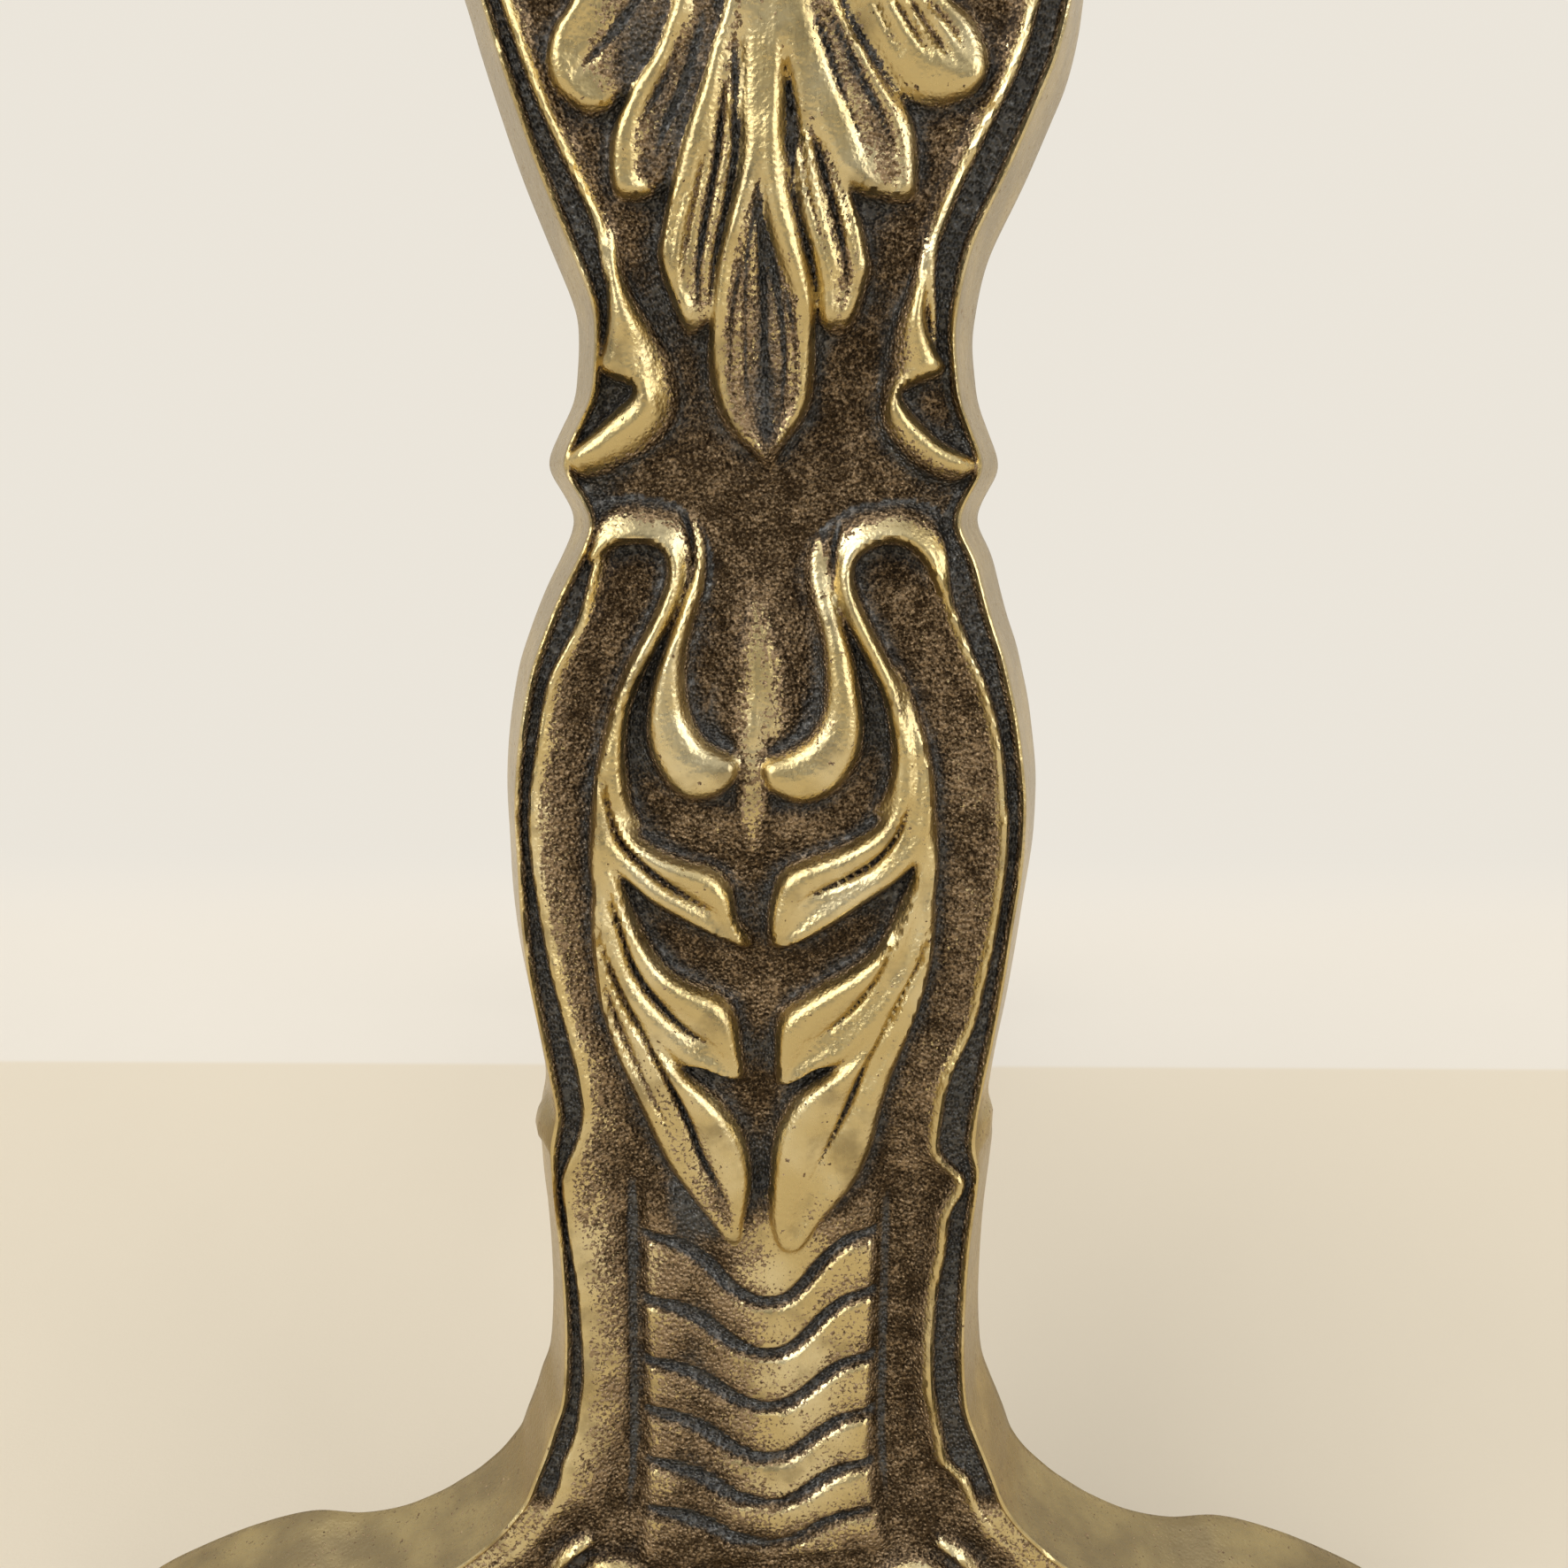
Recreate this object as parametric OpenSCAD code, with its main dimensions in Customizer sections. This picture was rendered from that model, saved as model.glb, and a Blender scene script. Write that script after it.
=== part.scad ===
// Andiron: a cast brass front in the rococo manner, carrying a square iron log bar on a rear leg.
// Millimetres. Z is up, the ornate face looks along -Y, and the log bar runs back along +Y.
// The origin is on the hearth, at the middle of the andiron's width and depth.

/* [Brass front] */
// Height of the brass front above the hearth
casting_height = 380; // [372:1:400]
// Width across the two toes
foot_span = 268; // [250:1:300]
// Depth of the casting from its rim to its open back
casting_depth = 22; // [20:0.5:28]
// Thickness of the brass in its face and in its side walls
wall = 5; // [4:0.25:6]
// How much wider the back edge is than the rim, on each side, so that the casting leaves its mould
draft = 5; // [3:0.25:7]
// How far the waist and the ankle lie back from the belly and the crest
face_bow = 5; // [2:0.5:7]

/* [Widths of the front] */
// Across the rims at the ankle, above the feet
ankle_width = 71; // [66:0.5:78]
// Across the rims at the knee, under the belly
knee_width = 73; // [68:0.5:80]
// Across the rims at the belly
belly_width = 83; // [76:0.5:90]
// Across the rims at the waist
waist_width = 56; // [52:0.5:62]
// Across the rims at the crest
crest_width = 92; // [84:0.5:100]

/* [Levels of the front] */
// Top of the feet where they meet the column
instep_level = 50; // [46:0.5:54]
// Knee, where the belly's rim ends in a small step
knee_level = 118; // [114:0.5:122]
// Widest part of the belly
belly_level = 178; // [172:0.5:184]
// Points of the rim at the waist
waist_level = 234; // [229:0.5:239]
// Widest part of the crest
crest_level = 322; // [316:0.5:328]
// Height of the arch under each foot
arch_height = 19; // [16:0.5:22]
// Length of each toe's sole, from its heel to its tip
sole_length = 24; // [18:0.5:28]

/* [Relief] */
// Depth of the sunk field behind the rims
field_depth = 3.5; // [2.5:0.25:4]
// Depth of the groove between the two rims
groove_depth = 2; // [1.25:0.25:2.5]
// How far the highest leaves stand out past the rim
leaf_proud = 1.5; // [0.5:0.25:2.5]

/* [Log bar] */
// Depth of the whole andiron, from its foremost leaf to the peened head behind its leg
overall_depth = 402.5; // [340:2.5:460]
// Side of the square iron bar
bar_side = 20; // [18:0.5:24]
// Height of the bar's top, where the logs lie
bar_top = 104; // [98:1:110]
// Side of the square tenons on the bar's ends
tenon_side = 13; // [11:0.5:15]
// Clearance around each tenon in its hole
tenon_fit = 0.2; // [0.1:0.05:0.4]
// Diameter of the peened heads
head_diameter = 22; // [21:0.5:26]
// Thickness of the peened heads
head_thickness = 4; // [3:0.5:5]

/* [Rear leg] */
// Height of the leg, with the log stop above the bar
leg_height = 134; // [126:1:150]
// Width of the leg
leg_width = 20; // [18:0.5:28]
// Thickness of the leg
leg_thickness = 9; // [8:0.5:12]
// Width of the log stop at its top
stop_width = 13; // [10:0.5:16]

/* [Fixing] */
// Width of the iron plate behind the casting
plate_width = 38; // [34:0.5:44]
// Thickness of that plate
plate_thickness = 6; // [5:0.5:8]
// Margin of the plate above and below the stud holes
plate_margin = 14; // [13:0.5:18]
// Distance between the two studs
stud_spacing = 56; // [54:1:64]
// Diameter of the studs
stud_diameter = 10; // [8:0.5:11]
// Depth of each stud in its boss
stud_grip = 12; // [10:0.5:13]
// Clearance around each stud in the plate and in its washer
stud_fit = 0.5; // [0.3:0.1:0.8]
// Diameter of the bosses cast behind the face
boss_diameter = 19; // [18:0.5:21]
// Diameter of the washers
washer_diameter = 22; // [20:0.5:23]
// Thickness of the washers
washer_thickness = 2; // [1.5:0.25:3]
// Width across the flats of the square nuts
nut_side = 17; // [16:0.5:18]
// Thickness of the nuts
nut_thickness = 8; // [7:0.5:9]
// How far each stud's end shows past its nut
stud_end = 3; // [2:0.5:4]

/* [Hidden] */
$fn = 48;

BRASS = [0.66, 0.53, 0.28];
IRON = [0.30, 0.24, 0.21];
DARK_IRON = [0.22, 0.19, 0.17];

// Places along the depth, from the foremost leaf back to the rear leg's peened head
front_y = -overall_depth / 2;
rim_y = front_y + leaf_proud;
back_y = rim_y + casting_depth;
bar_start = back_y + plate_thickness;
bar_end = overall_depth / 2 - head_thickness - leg_thickness;
bar_length = bar_end - bar_start;
bar_middle = bar_top - bar_side / 2;
lower_stud_level = bar_middle - stud_spacing / 2;
upper_stud_level = bar_middle + stud_spacing / 2;
stud_start = back_y - stud_grip;
stud_stop = bar_start + washer_thickness + nut_thickness + stud_end;
tenon_hole = tenon_side + 2 * tenon_fit;
stud_hole = stud_diameter + 2 * stud_fit;

// The front is drawn once, as [across, up] in millimetres, and each drawn point then moves to the
// widths and levels above. These are the sizes at which it is drawn.
drawn_ankle = 71;
drawn_knee = 73;
drawn_belly = 83;
drawn_waist = 56;
drawn_crest = 92;
drawn_toe = 129;
drawn_arch = 19;
drawn_sole = 24;
instep_reach = 45;
drawn_instep_level = 50;
drawn_ankle_level = 90;
drawn_knee_level = 118;
drawn_belly_level = 178;
drawn_waist_level = 234;
// The waist is narrowest a little above the points of its rim
drawn_narrowest_level = 255;
drawn_crest_level = 322;
drawn_height = 380;

function level(z) = lookup(z, [[0, 0], [drawn_instep_level, instep_level], [drawn_knee_level, knee_level],
    [drawn_belly_level, belly_level], [drawn_waist_level, waist_level], [drawn_crest_level, crest_level],
    [drawn_height, casting_height]]);
function column_scale(z) = lookup(z, [[drawn_ankle_level, ankle_width / drawn_ankle],
    [drawn_knee_level, knee_width / drawn_knee], [drawn_belly_level, belly_width / drawn_belly],
    [drawn_narrowest_level, waist_width / drawn_waist], [drawn_crest_level, crest_width / drawn_crest]]);
function foot_across(x) = lookup(abs(x), [[0, 0], [instep_reach, instep_reach * ankle_width / drawn_ankle],
    [drawn_toe, foot_span / 2 - draft]]) * sign(x);
function across(p) = p[1] < drawn_instep_level ? foot_across(p[0]) : p[0] * column_scale(p[1]);
function placed(p) = [across(p), level(p[1])];

// The waist and the ankle lie back, and the belly and the crest come forward
function bow(z) = face_bow * lookup(z, [[instep_level - 16, 0], [instep_level + 10, 0.5],
    [knee_level - 14, 0.5], [knee_level + 14, 0.1], [belly_level, 0], [waist_level - 28, 0.35],
    [waist_level - 8, 0.95], [waist_level + 10, 0.95], [waist_level + 36, 0.35], [crest_level - 16, 0]]);
function rim_at(z) = rim_y + bow(z);
function field_at(z) = rim_at(z) + field_depth;

// A smooth curve through drawn points, and the same curve cut into equal runs
function bend(a, b, c, d, t) = 0.5 * (2 * b + (c - a) * t + (2 * a - 5 * b + 4 * c - d) * t * t
    + (3 * b - a - 3 * c + d) * t * t * t);
function pick(p, i) = p[max(0, min(len(p) - 1, i))];
function smooth(p, cuts) = [for (i = [0:len(p) - 2], k = [0:cuts - 1])
    bend(pick(p, i - 1), p[i], p[i + 1], pick(p, i + 2), k / cuts), p[len(p) - 1]];
function runs(p, i = 0, sum = 0) = i == len(p) - 1 ? [sum] :
    concat([sum], runs(p, i + 1, sum + norm(p[i + 1] - p[i])));
function even(p, steps) = let (c = smooth(p, 5), r = runs(c), total = r[len(r) - 1])
    [for (k = [0:steps]) [for (axis = [0, 1])
        lookup(k / steps * total, [for (j = [0:len(c) - 1]) [r[j], c[j][axis]]])]];

// A closed solid from equal rows of points; each row is a loop round the solid
function ring_faces(rows, size) = [for (r = [0:rows - 2], k = [0:size - 1])
    [r * size + k, r * size + (k + 1) % size, (r + 1) * size + (k + 1) % size, (r + 1) * size + k]];
function cap_faces(start, size) = [for (k = [0:size / 2 - 2])
    [start + k, start + size - 1 - k, start + size - 2 - k, start + k + 1]];
function turned(faces) = [for (f = faces) [for (i = [len(f) - 1:-1:0]) f[i]]];
module skin(rows) {
    size = len(rows[0]);
    last = (len(rows) - 1) * size;
    polyhedron(points = [for (row = rows, p = row) p],
        faces = concat(ring_faces(len(rows), size), cap_faces(0, size), turned(cap_faces(last, size))));
}

// ---- The body of the front casting ----

// Stations down the right half: [rim across, rim up, way the wall leans out in degrees, inner end across,
// inner end up]. The inner end runs down the middle line and then along the arched underside to the toe.
STATIONS = [
    [4, 380, 0, 0, 380], [11.5, 377.5, 15, 0, 377.5], [17.6, 371.5, 25, 0, 371.5], [21, 364, 5, 0, 364],
    [22.6, 358.6, 15, 0, 358.6], [29, 358.2, 40, 0, 355], [36.4, 354.4, 38, 0, 349],
    [41.4, 346.5, 15, 0, 343], [44.4, 335, 0, 0, 334], [46, 322, 0, 0, 322], [45.2, 310, 0, 0, 310],
    [42.5, 298, 0, 0, 298], [38.5, 286, 0, 0, 286], [33.8, 275, 0, 0, 275], [29.6, 264, 0, 0, 264],
    [28, 255, 0, 0, 255], [28.7, 247, 0, 0, 247], [31, 240.5, 0, 0, 240.5], [33.4, 234.5, 0, 0, 234.5],
    [31.3, 229.8, 0, 0, 229.8],
    [29.5, 226, 0, 0, 226], [31.8, 220, 0, 0, 220], [35.6, 211.5, 0, 0, 211.5], [38.9, 201, 0, 0, 201],
    [41, 188, 0, 0, 188], [41.7, 176, 0, 0, 176], [40.8, 160, 0, 0, 160], [38.9, 145, 0, 0, 145],
    [36.8, 132, 0, 0, 132], [35.7, 125, 0, 0, 125], [36.9, 117, 0, 0, 117], [36, 104, 0, 0, 104],
    [35.3, 90, 0, 0, 90], [35.6, 76, 3, 0, 76], [37.7, 65, 15, 0, 63], [41.5, 55, 30, 0, 48],
    [46, 47, 50, 0, 34], [52, 41, 60, 0, 24], [57, 37.4, 66, 0, 19.5], [62, 34.4, 72, 0, 12.6],
    [70, 31, 82, 18, 15], [79, 29.4, 92, 34, 18], [88, 29.8, 86, 52, 19], [98, 27, 74, 70, 17],
    [108, 22.6, 64, 84, 11.5], [116.6, 17.8, 60, 96, 4.4], [124, 11.4, 45, 105, 0], [127.6, 6, 20, 113, 0],
    [129, 1.5, 0, 121, 0]];
// The station where the inner end leaves the middle line, and the smooth stretch that takes finer rows
FIRST_UNDERSIDE = 39;
FIRST_FINE = 9;
LAST_FINE = 37;

// Distance from the outer rim to the inner rim, drawn level by level
function rim_gap(z) = lookup(z, [[34, 4.5], [50, 5], [65, 5.5], [90, 4.6], [104, 3.2], [113, 2.6],
    [119, 5.4], [128, 5.8], [140, 4.7], [160, 3.4], [176, 3.1], [190, 3.5], [208, 5.4], [219, 4],
    [234, 3], [252, 3.2], [262, 4.5], [280, 6], [302, 5.4], [322, 5], [350, 4.6], [372, 3.4]]);

INNER_RIM_PROUD = 0.2;
EDGE_ROUND = 0.4;
// Above this level, and beyond this distance across, the casting is solid and so closes its hollow
SOLID_ABOVE = 374;
SOLID_BEYOND = 122;

function under_foot(i) = i >= FIRST_UNDERSIDE;
function arched(p) = [foot_across(p[0]), p[1] * arch_height / drawn_arch];
function sole(p) = [foot_span / 2 - draft - (drawn_toe - p[0]) * sole_length / drawn_sole, 0];
function inner_end(p) = p[1] <= 0 ? sole(p) : p[0] > 0 || p[1] < drawn_arch ? arched(p) : [0, level(p[1])];

// One section through the half casting: along the face from the inner end to the rim, and back inside.
// On a narrow stretch each distance is held to a share of the width, so that the points stay in order.
// A low section ends at the underside, where a bead and a wall stand on the arch.
function section(s, low) =
    let (rim = placed([s[0], s[1]]), inner = inner_end([s[3], s[4]]))
    let (width = norm(rim - inner), run = (rim - inner) / width, rising = run + [0, 1])
    let (inward = low ? rising / norm(rising) : run)
    let (gap = min(rim_gap(s[1]), width * 0.35), side = min(wall, width * 0.3))
    let (bead = min(3, width * 0.2), foot_of_bead = min(4.5, width * 0.35))
    let (foot_of_rim = min(gap + 2, width * 0.5), lip = min(1.2, width * 0.08))
    let (out = [cos(s[2]), sin(s[2])], back = rim + draft * out, back_in = back - side * out)
    let (in_face = inner + inward * side, out_face = rim - run * side)
    let (d1 = inner + inward * bead, d2 = inner + inward * foot_of_bead, d3 = rim - run * foot_of_rim)
    let (d4 = rim - run * gap, d5 = rim - run * gap / 2, d6 = rim - run * lip)
    let (solid = s[1] > SOLID_ABOVE || s[0] > SOLID_BEYOND)
    let (floor_in = solid ? back_y : field_at(in_face[1]) + wall)
    let (floor_out = solid ? back_y : field_at(out_face[1]) + wall)
    [
        [inner[0], low ? rim_at(inner[1]) : field_at(inner[1]), inner[1]],
        [d1[0], low ? rim_at(d1[1]) : field_at(d1[1]), d1[1]],
        [d2[0], field_at(d2[1]), d2[1]],
        [d3[0], field_at(d3[1]), d3[1]],
        [d4[0], rim_at(d4[1]) - INNER_RIM_PROUD, d4[1]],
        [d5[0], rim_at(d5[1]) + groove_depth, d5[1]],
        [d6[0], rim_at(d6[1]), d6[1]],
        [rim[0], rim_at(rim[1]) + EDGE_ROUND, rim[1]],
        [back[0], back_y, back[1]],
        [back_in[0], back_y, back_in[1]],
        [out_face[0], floor_out, out_face[1]],
        [in_face[0], floor_in, in_face[1]],
        [in_face[0], low ? back_y : floor_in, in_face[1]],
        [inner[0], low ? back_y : floor_in, inner[1]],
    ];

module half_body() {
    fine = smooth(STATIONS, 2);
    rows = [for (i = [0:len(fine) - 1]) if (i % 2 == 0 || i > 2 * FIRST_FINE && i < 2 * LAST_FINE) i];
    skin([for (i = rows) section(fine[i], under_foot(i / 2))]);
}

module both_sides() {
    children();
    mirror([1, 0, 0])
        children();
}

// ---- The raised ornament ----

// Rise across a form, from edge to edge, as shares of its full rise
DOME = [0, 0.8, 0.95, 0.6, 0];
RIDGE = [0, 1, 0];
STEP = [0, 0.9, 0.9, 0];
LEAF = [0, 1, 0.4, 1, 0];
HOLLOW = [0, 0.9, 0.35, 1, 0];
// How far each form roots in the face
SUNK = 1.5;

// A form raised between two drawn edges; it runs out over the root and tip shares of its length
module form(edge_a, edge_b, rise, profile, steps = 9, root = 0.12, tip = 0.12) {
    a = [for (p = even(edge_a, steps)) placed(p)];
    b = [for (p = even(edge_b, steps)) placed(p)];
    middle = floor(steps / 2);
    over = b[middle] - a[middle];
    on = a[middle + 1] - a[middle];
    order = over[0] * on[1] - over[1] * on[0] < 0 ? [0, 1] : [1, 0];
    count = len(profile) - 1;
    skin([for (k = [0:steps])
        let (ends = min(1, (k / steps + 0.02) / root, (1 - k / steps + 0.02) / tip))
        let (from = order[0] == 0 ? a[k] : b[k], to = order[0] == 0 ? b[k] : a[k])
        let (shape = order[0] == 0 ? profile : [for (j = [count:-1:0]) profile[j]])
        let (line = [for (j = [0:count]) from + (to - from) * j / count])
        let (lift = rise * sqrt(ends))
        concat([for (j = [0:count]) [line[j][0], field_at(line[j][1]) - lift * shape[j], line[j][1]]],
            [for (j = [count:-1:0]) [line[j][0], field_at(line[j][1]) + SUNK, line[j][1]]])]);
}

// A ridge along a drawn line, with its width at the start, in the middle and at the end
function across_line(p, i) = let (d = pick(p, i + 1) - pick(p, i - 1)) [d[1], -d[0]] / norm(d);
function swell(w, t) = (1 - t) * (1 - 2 * t) * w[0] + 4 * t * (1 - t) * w[1] + t * (2 * t - 1) * w[2];
function beside(line, widths, side) = [for (i = [0:len(line) - 1])
    line[i] + side * across_line(line, i) * swell(widths, i / (len(line) - 1)) / 2];
module ridge(line, widths, rise, steps = 10, profile = RIDGE) {
    form(beside(line, widths, 1), beside(line, widths, -1), rise, profile, steps, 0.08, 0.08);
}

rise_full = field_depth + leaf_proud;
rise_mid = field_depth;
rise_low = field_depth * 0.6;

// Acanthus leaf that hangs from the crest: a middle lobe and three lobes on each side
module hanging_leaf() {
    edge = [[3, 306], [3.5, 290], [5, 272], [7.2, 262], [8.3, 255], [8.2, 248], [6.2, 242], [3, 238],
        [0.6, 235.6]];
    form(edge, [for (p = edge) [-p[0], p[1]]], rise_full, LEAF, 10);
    both_sides() {
        form([[4, 302], [5, 286], [6.4, 272], [8.4, 263], [9.6, 257.5], [11.2, 255.4]],
            [[8, 298], [11.5, 286], [14.2, 277], [15.6, 270], [16.6, 264], [15, 258.5], [12.4, 255.4]],
            rise_mid, LEAF, 7);
        form([[6.5, 302], [11, 289], [14.6, 279], [16.6, 275.6]],
            [[12, 302], [18.2, 293], [22.3, 286], [23.7, 280], [22.4, 276], [18.6, 275.2]],
            rise_mid, LEAF, 7);
        form([[12, 304], [18, 294], [23.5, 288.2], [28, 287.8], [31.2, 290]],
            [[15, 308], [24, 306], [30.5, 301], [33.6, 296.5], [33.2, 292.2]], rise_mid, LEAF, 7);
    }
}

// Volute hooks that pinch the waist
module waist_hook() {
    form([[18.5, 262], [16.4, 254], [16.4, 247], [18.2, 241.5], [22, 237.5], [26, 235.4], [30, 234.2]],
        [[25.2, 262], [26, 256], [23.4, 250.5], [22.4, 246], [25, 241.8], [28.4, 239], [31.4, 236.6]],
        rise_mid, DOME, 9);
}

// Long S scroll of the cartouche: it springs from the shoulder, runs down the belly and ends the upper lobe
module s_scroll() {
    ridge([[28.4, 220], [26, 223.6], [21.8, 225.4], [17.6, 224.6], [14.6, 222], [13.6, 217.6],
            [14.8, 212.6], [17.6, 208], [20.2, 202.6], [22, 196.6], [22.8, 190], [22.2, 182.8],
            [19.6, 177.4], [15, 173.8], [9, 171]],
        [3, 3.2, 2.4], rise_mid, 14);
}

// Teardrop that hangs inside the scroll
module teardrop() {
    form([[9.4, 227], [8.8, 220], [9.8, 213], [10.6, 206], [10, 199], [8.2, 193.6], [4.8, 190.2],
            [1.6, 188.4]],
        [[12, 226.4], [11.6, 220], [12.8, 213.6], [14.8, 207], [16, 199], [17.4, 191], [16, 184.4],
            [11.6, 180.8], [6, 180.4], [2.2, 183], [0.8, 185.6]],
        rise_full, DOME, 10, 0.2, 0.1);
}

// Bud between the teardrops, and the stem below it
module bud() {
    edge = [[0.8, 213], [5, 207], [8, 201], [8.6, 195.5], [7, 191.4], [3, 189]];
    form(edge, [for (p = edge) [-p[0], p[1]]], rise_mid, LEAF, 7);
    form([[2.4, 186], [2.2, 172], [1, 158]], [[-2.4, 186], [-2.2, 172], [-1, 158]], rise_low, RIDGE, 6);
}

// Leaf below the scrolls, with three lobes on each side that fold towards the middle
module belly_leaf() {
    form([[24.2, 192], [23.8, 183], [21.2, 176.8], [16.2, 172.8], [9.4, 170], [5, 167.6], [3.2, 162.8],
            [2, 157.4]],
        [[27.4, 190], [27.8, 180], [25, 171.8], [20, 165.4], [14.4, 161], [9, 157.8], [4.6, 156.2],
            [3, 156]],
        rise_full, HOLLOW, 8);
    form([[27, 175], [25, 165], [21.4, 159.4], [17.6, 153.6], [13.4, 149.8], [9, 147.6], [5.2, 144.8],
            [3.6, 140], [3, 134.4]],
        [[29.2, 170], [28, 158.6], [24.6, 149], [20.2, 141.4], [15.6, 137], [11.4, 135.2], [7, 133.8],
            [4.4, 133]],
        rise_full, HOLLOW, 8);
    form([[28.8, 162], [26.4, 151], [22.8, 142.6], [18.4, 136.4], [13, 132.6], [8.4, 128], [4.8, 122.4],
            [2.6, 116], [2.2, 109], [3.4, 103.4]],
        [[30, 152], [28.2, 139.6], [24.4, 130.4], [20.6, 122.4], [18, 115], [14.6, 109.6], [11, 105.4],
            [7.4, 102.4], [5.2, 101.4]],
        rise_full, HOLLOW, 9);
}

// Wavy bands of the shaft; each is one step of a ladder that dips in the middle
BAND_HALF = 20.5;
BAND_TOP = 101.5;
BAND_PITCH = 10.6;
BAND_COUNT = 7;
BAND_GROOVE = 1.2;
BAND_POINTS = [-1, -0.8, -0.55, -0.3, 0, 0.3, 0.55, 0.8, 1];
function dip(k) = 12 - 0.7 * k;
function wave(x, k) = BAND_TOP - k * BAND_PITCH - dip(k) * (1 + cos(180 * x)) / 2;
module shaft_bands() {
    for (k = [0:BAND_COUNT - 2])
        form([for (x = BAND_POINTS) [x * BAND_HALF, wave(x, k) - BAND_GROOVE]],
            [for (x = BAND_POINTS) [x * BAND_HALF, wave(x, k + 1) + BAND_GROOVE]],
            rise_low, STEP, 8, 0.04, 0.04);
}

// Rounded mouldings beside the bands
module side_moulding() {
    form([[33.6, 114.5], [29, 108], [26, 100], [25.2, 86], [25, 70], [26.4, 56], [29.4, 51.6]],
        [[34.8, 113.4], [34, 106], [32.6, 98], [31.2, 86], [30.8, 74], [32.4, 62], [35.6, 54]],
        rise_mid, DOME, 10);
}

// Volutes at the foot of the shaft, turned by a formula, with a round eye in each
VOLUTE_CENTRE = [28.5, 31];
VOLUTE_OUTER = 12;
VOLUTE_INNER = 5.5;
VOLUTE_START = 75;
VOLUTE_TURN = 430;
function volute_at(t) = let (angle = VOLUTE_START - VOLUTE_TURN * t)
    VOLUTE_CENTRE + (VOLUTE_OUTER + (VOLUTE_INNER - VOLUTE_OUTER) * t) * [cos(angle), sin(angle)];
module foot_volute() {
    ridge([for (k = [0:20]) volute_at(k / 20)], [3.2, 3, 2.4], rise_mid, 18);
    eye = placed(VOLUTE_CENTRE);
    translate([eye[0], field_at(eye[1]) + SUNK, eye[1]])
        rotate([90, 0, 0])
            cylinder(h = rise_mid + SUNK, r1 = 4, r2 = 2.4, $fn = 20);
}

// Leaf that lies along each foot and ends in a curl over the toe
module foot_leaf() {
    form([[46, 38], [56, 32], [68, 26.8], [80, 25], [92, 24.8], [103, 20.6], [112, 15.8], [118, 11.4]],
        [[44, 22], [56, 20.6], [68, 22], [80, 22.4], [90, 20.2], [100, 14.4], [108, 9.8], [116.6, 7.6]],
        rise_mid, LEAF, 12);
    ridge([[114, 12], [118.4, 10.6], [121.6, 7.6], [120.4, 4.8], [117.4, 5]], [2.4, 3, 2.2], rise_mid, 8);
}

// Shell under the bands, at the middle of the apron
APRON_HUB = [0, 32];
APRON_RAYS = [-62, -31, 0, 31, 62];
module apron_shell() {
    for (turn = APRON_RAYS)
        ray(APRON_HUB, turn + 180, 3, 12.5 - abs(turn) / 40, 1.6, 5.6, rise_mid);
}

// Palmette of the crest, between two C scrolls
CREST_HUB = [0, 327];
CREST_RAYS = [-78, -52, -26, 0, 26, 52, 78];
CREST_REACH = 45;
module ray(hub, turn, near, far, near_width, far_width, rise) {
    way = [sin(turn), cos(turn)];
    line = [for (k = [0:4]) hub + way * (near + (far - near) * k / 4)];
    ridge(line, [near_width, (near_width + far_width) / 2, far_width], rise, 6);
}
module palmette() {
    for (turn = CREST_RAYS)
        ray(CREST_HUB, turn, 7, CREST_REACH - abs(turn) * 0.3 - pow(turn / 40, 2) * 1.2, 2.4, 9, rise_mid);
    hub = placed(CREST_HUB);
    translate([hub[0], field_at(hub[1]) + SUNK, hub[1]])
        rotate([90, 0, 0])
            cylinder(h = rise_full + SUNK, r1 = 7, r2 = 4, $fn = 24);
}
module crest_scroll() {
    ridge([[9, 311], [16, 313], [25, 315], [33, 321], [37.4, 330], [36, 339.6], [29.6, 343], [25, 339],
            [27, 334.4]],
        [3, 4.4, 3], rise_full, 16);
}

module carved_front() {
    both_sides() {
        half_body();
        waist_hook();
        s_scroll();
        teardrop();
        belly_leaf();
        side_moulding();
        foot_volute();
        foot_leaf();
        crest_scroll();
    }
    hanging_leaf();
    bud();
    shaft_bands();
    apron_shell();
    palmette();
}

// ---- What carries the log bar ----

STUD_LEVELS = [lower_stud_level, upper_stud_level];
// How far each boss starts inside the brass of the face
boss_root = 1.5;
function boss_start(z) = field_at(z) + wall - boss_root;

// A rod along Y
module rod(start, stop, diameter, z) {
    translate([0, start, z])
        rotate([-90, 0, 0])
            cylinder(h = stop - start, d = diameter);
}

module front_casting() {
    color(BRASS)
        difference() {
            union() {
                // The carved front is one skin, held to its named span and height
                resize([foot_span, 0, casting_height])
                    carved_front();
                for (z = STUD_LEVELS)
                    rod(boss_start(z), back_y, boss_diameter, z);
            }
            for (z = STUD_LEVELS)
                rod(stud_start, back_y + 1, stud_diameter, z);
        }
}

// Iron plate behind the casting, with a square hole for the bar's tenon
module mounting_plate() {
    height = stud_spacing + 2 * plate_margin;
    color(IRON)
        difference() {
            translate([-plate_width / 2, back_y, bar_middle - height / 2])
                cube([plate_width, plate_thickness, height]);
            translate([-tenon_hole / 2, back_y - 1, bar_middle - tenon_hole / 2])
                cube([tenon_hole, plate_thickness + 2, tenon_hole]);
            for (z = STUD_LEVELS)
                rod(back_y - 1, back_y + plate_thickness + 1, stud_hole, z);
        }
}

module stud(z) {
    color(DARK_IRON)
        rod(stud_start, stud_stop, stud_diameter, z);
}

module washer(z) {
    color(DARK_IRON)
        difference() {
            rod(bar_start, bar_start + washer_thickness, washer_diameter, z);
            rod(bar_start - 1, bar_start + washer_thickness + 1, stud_hole, z);
        }
}

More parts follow.
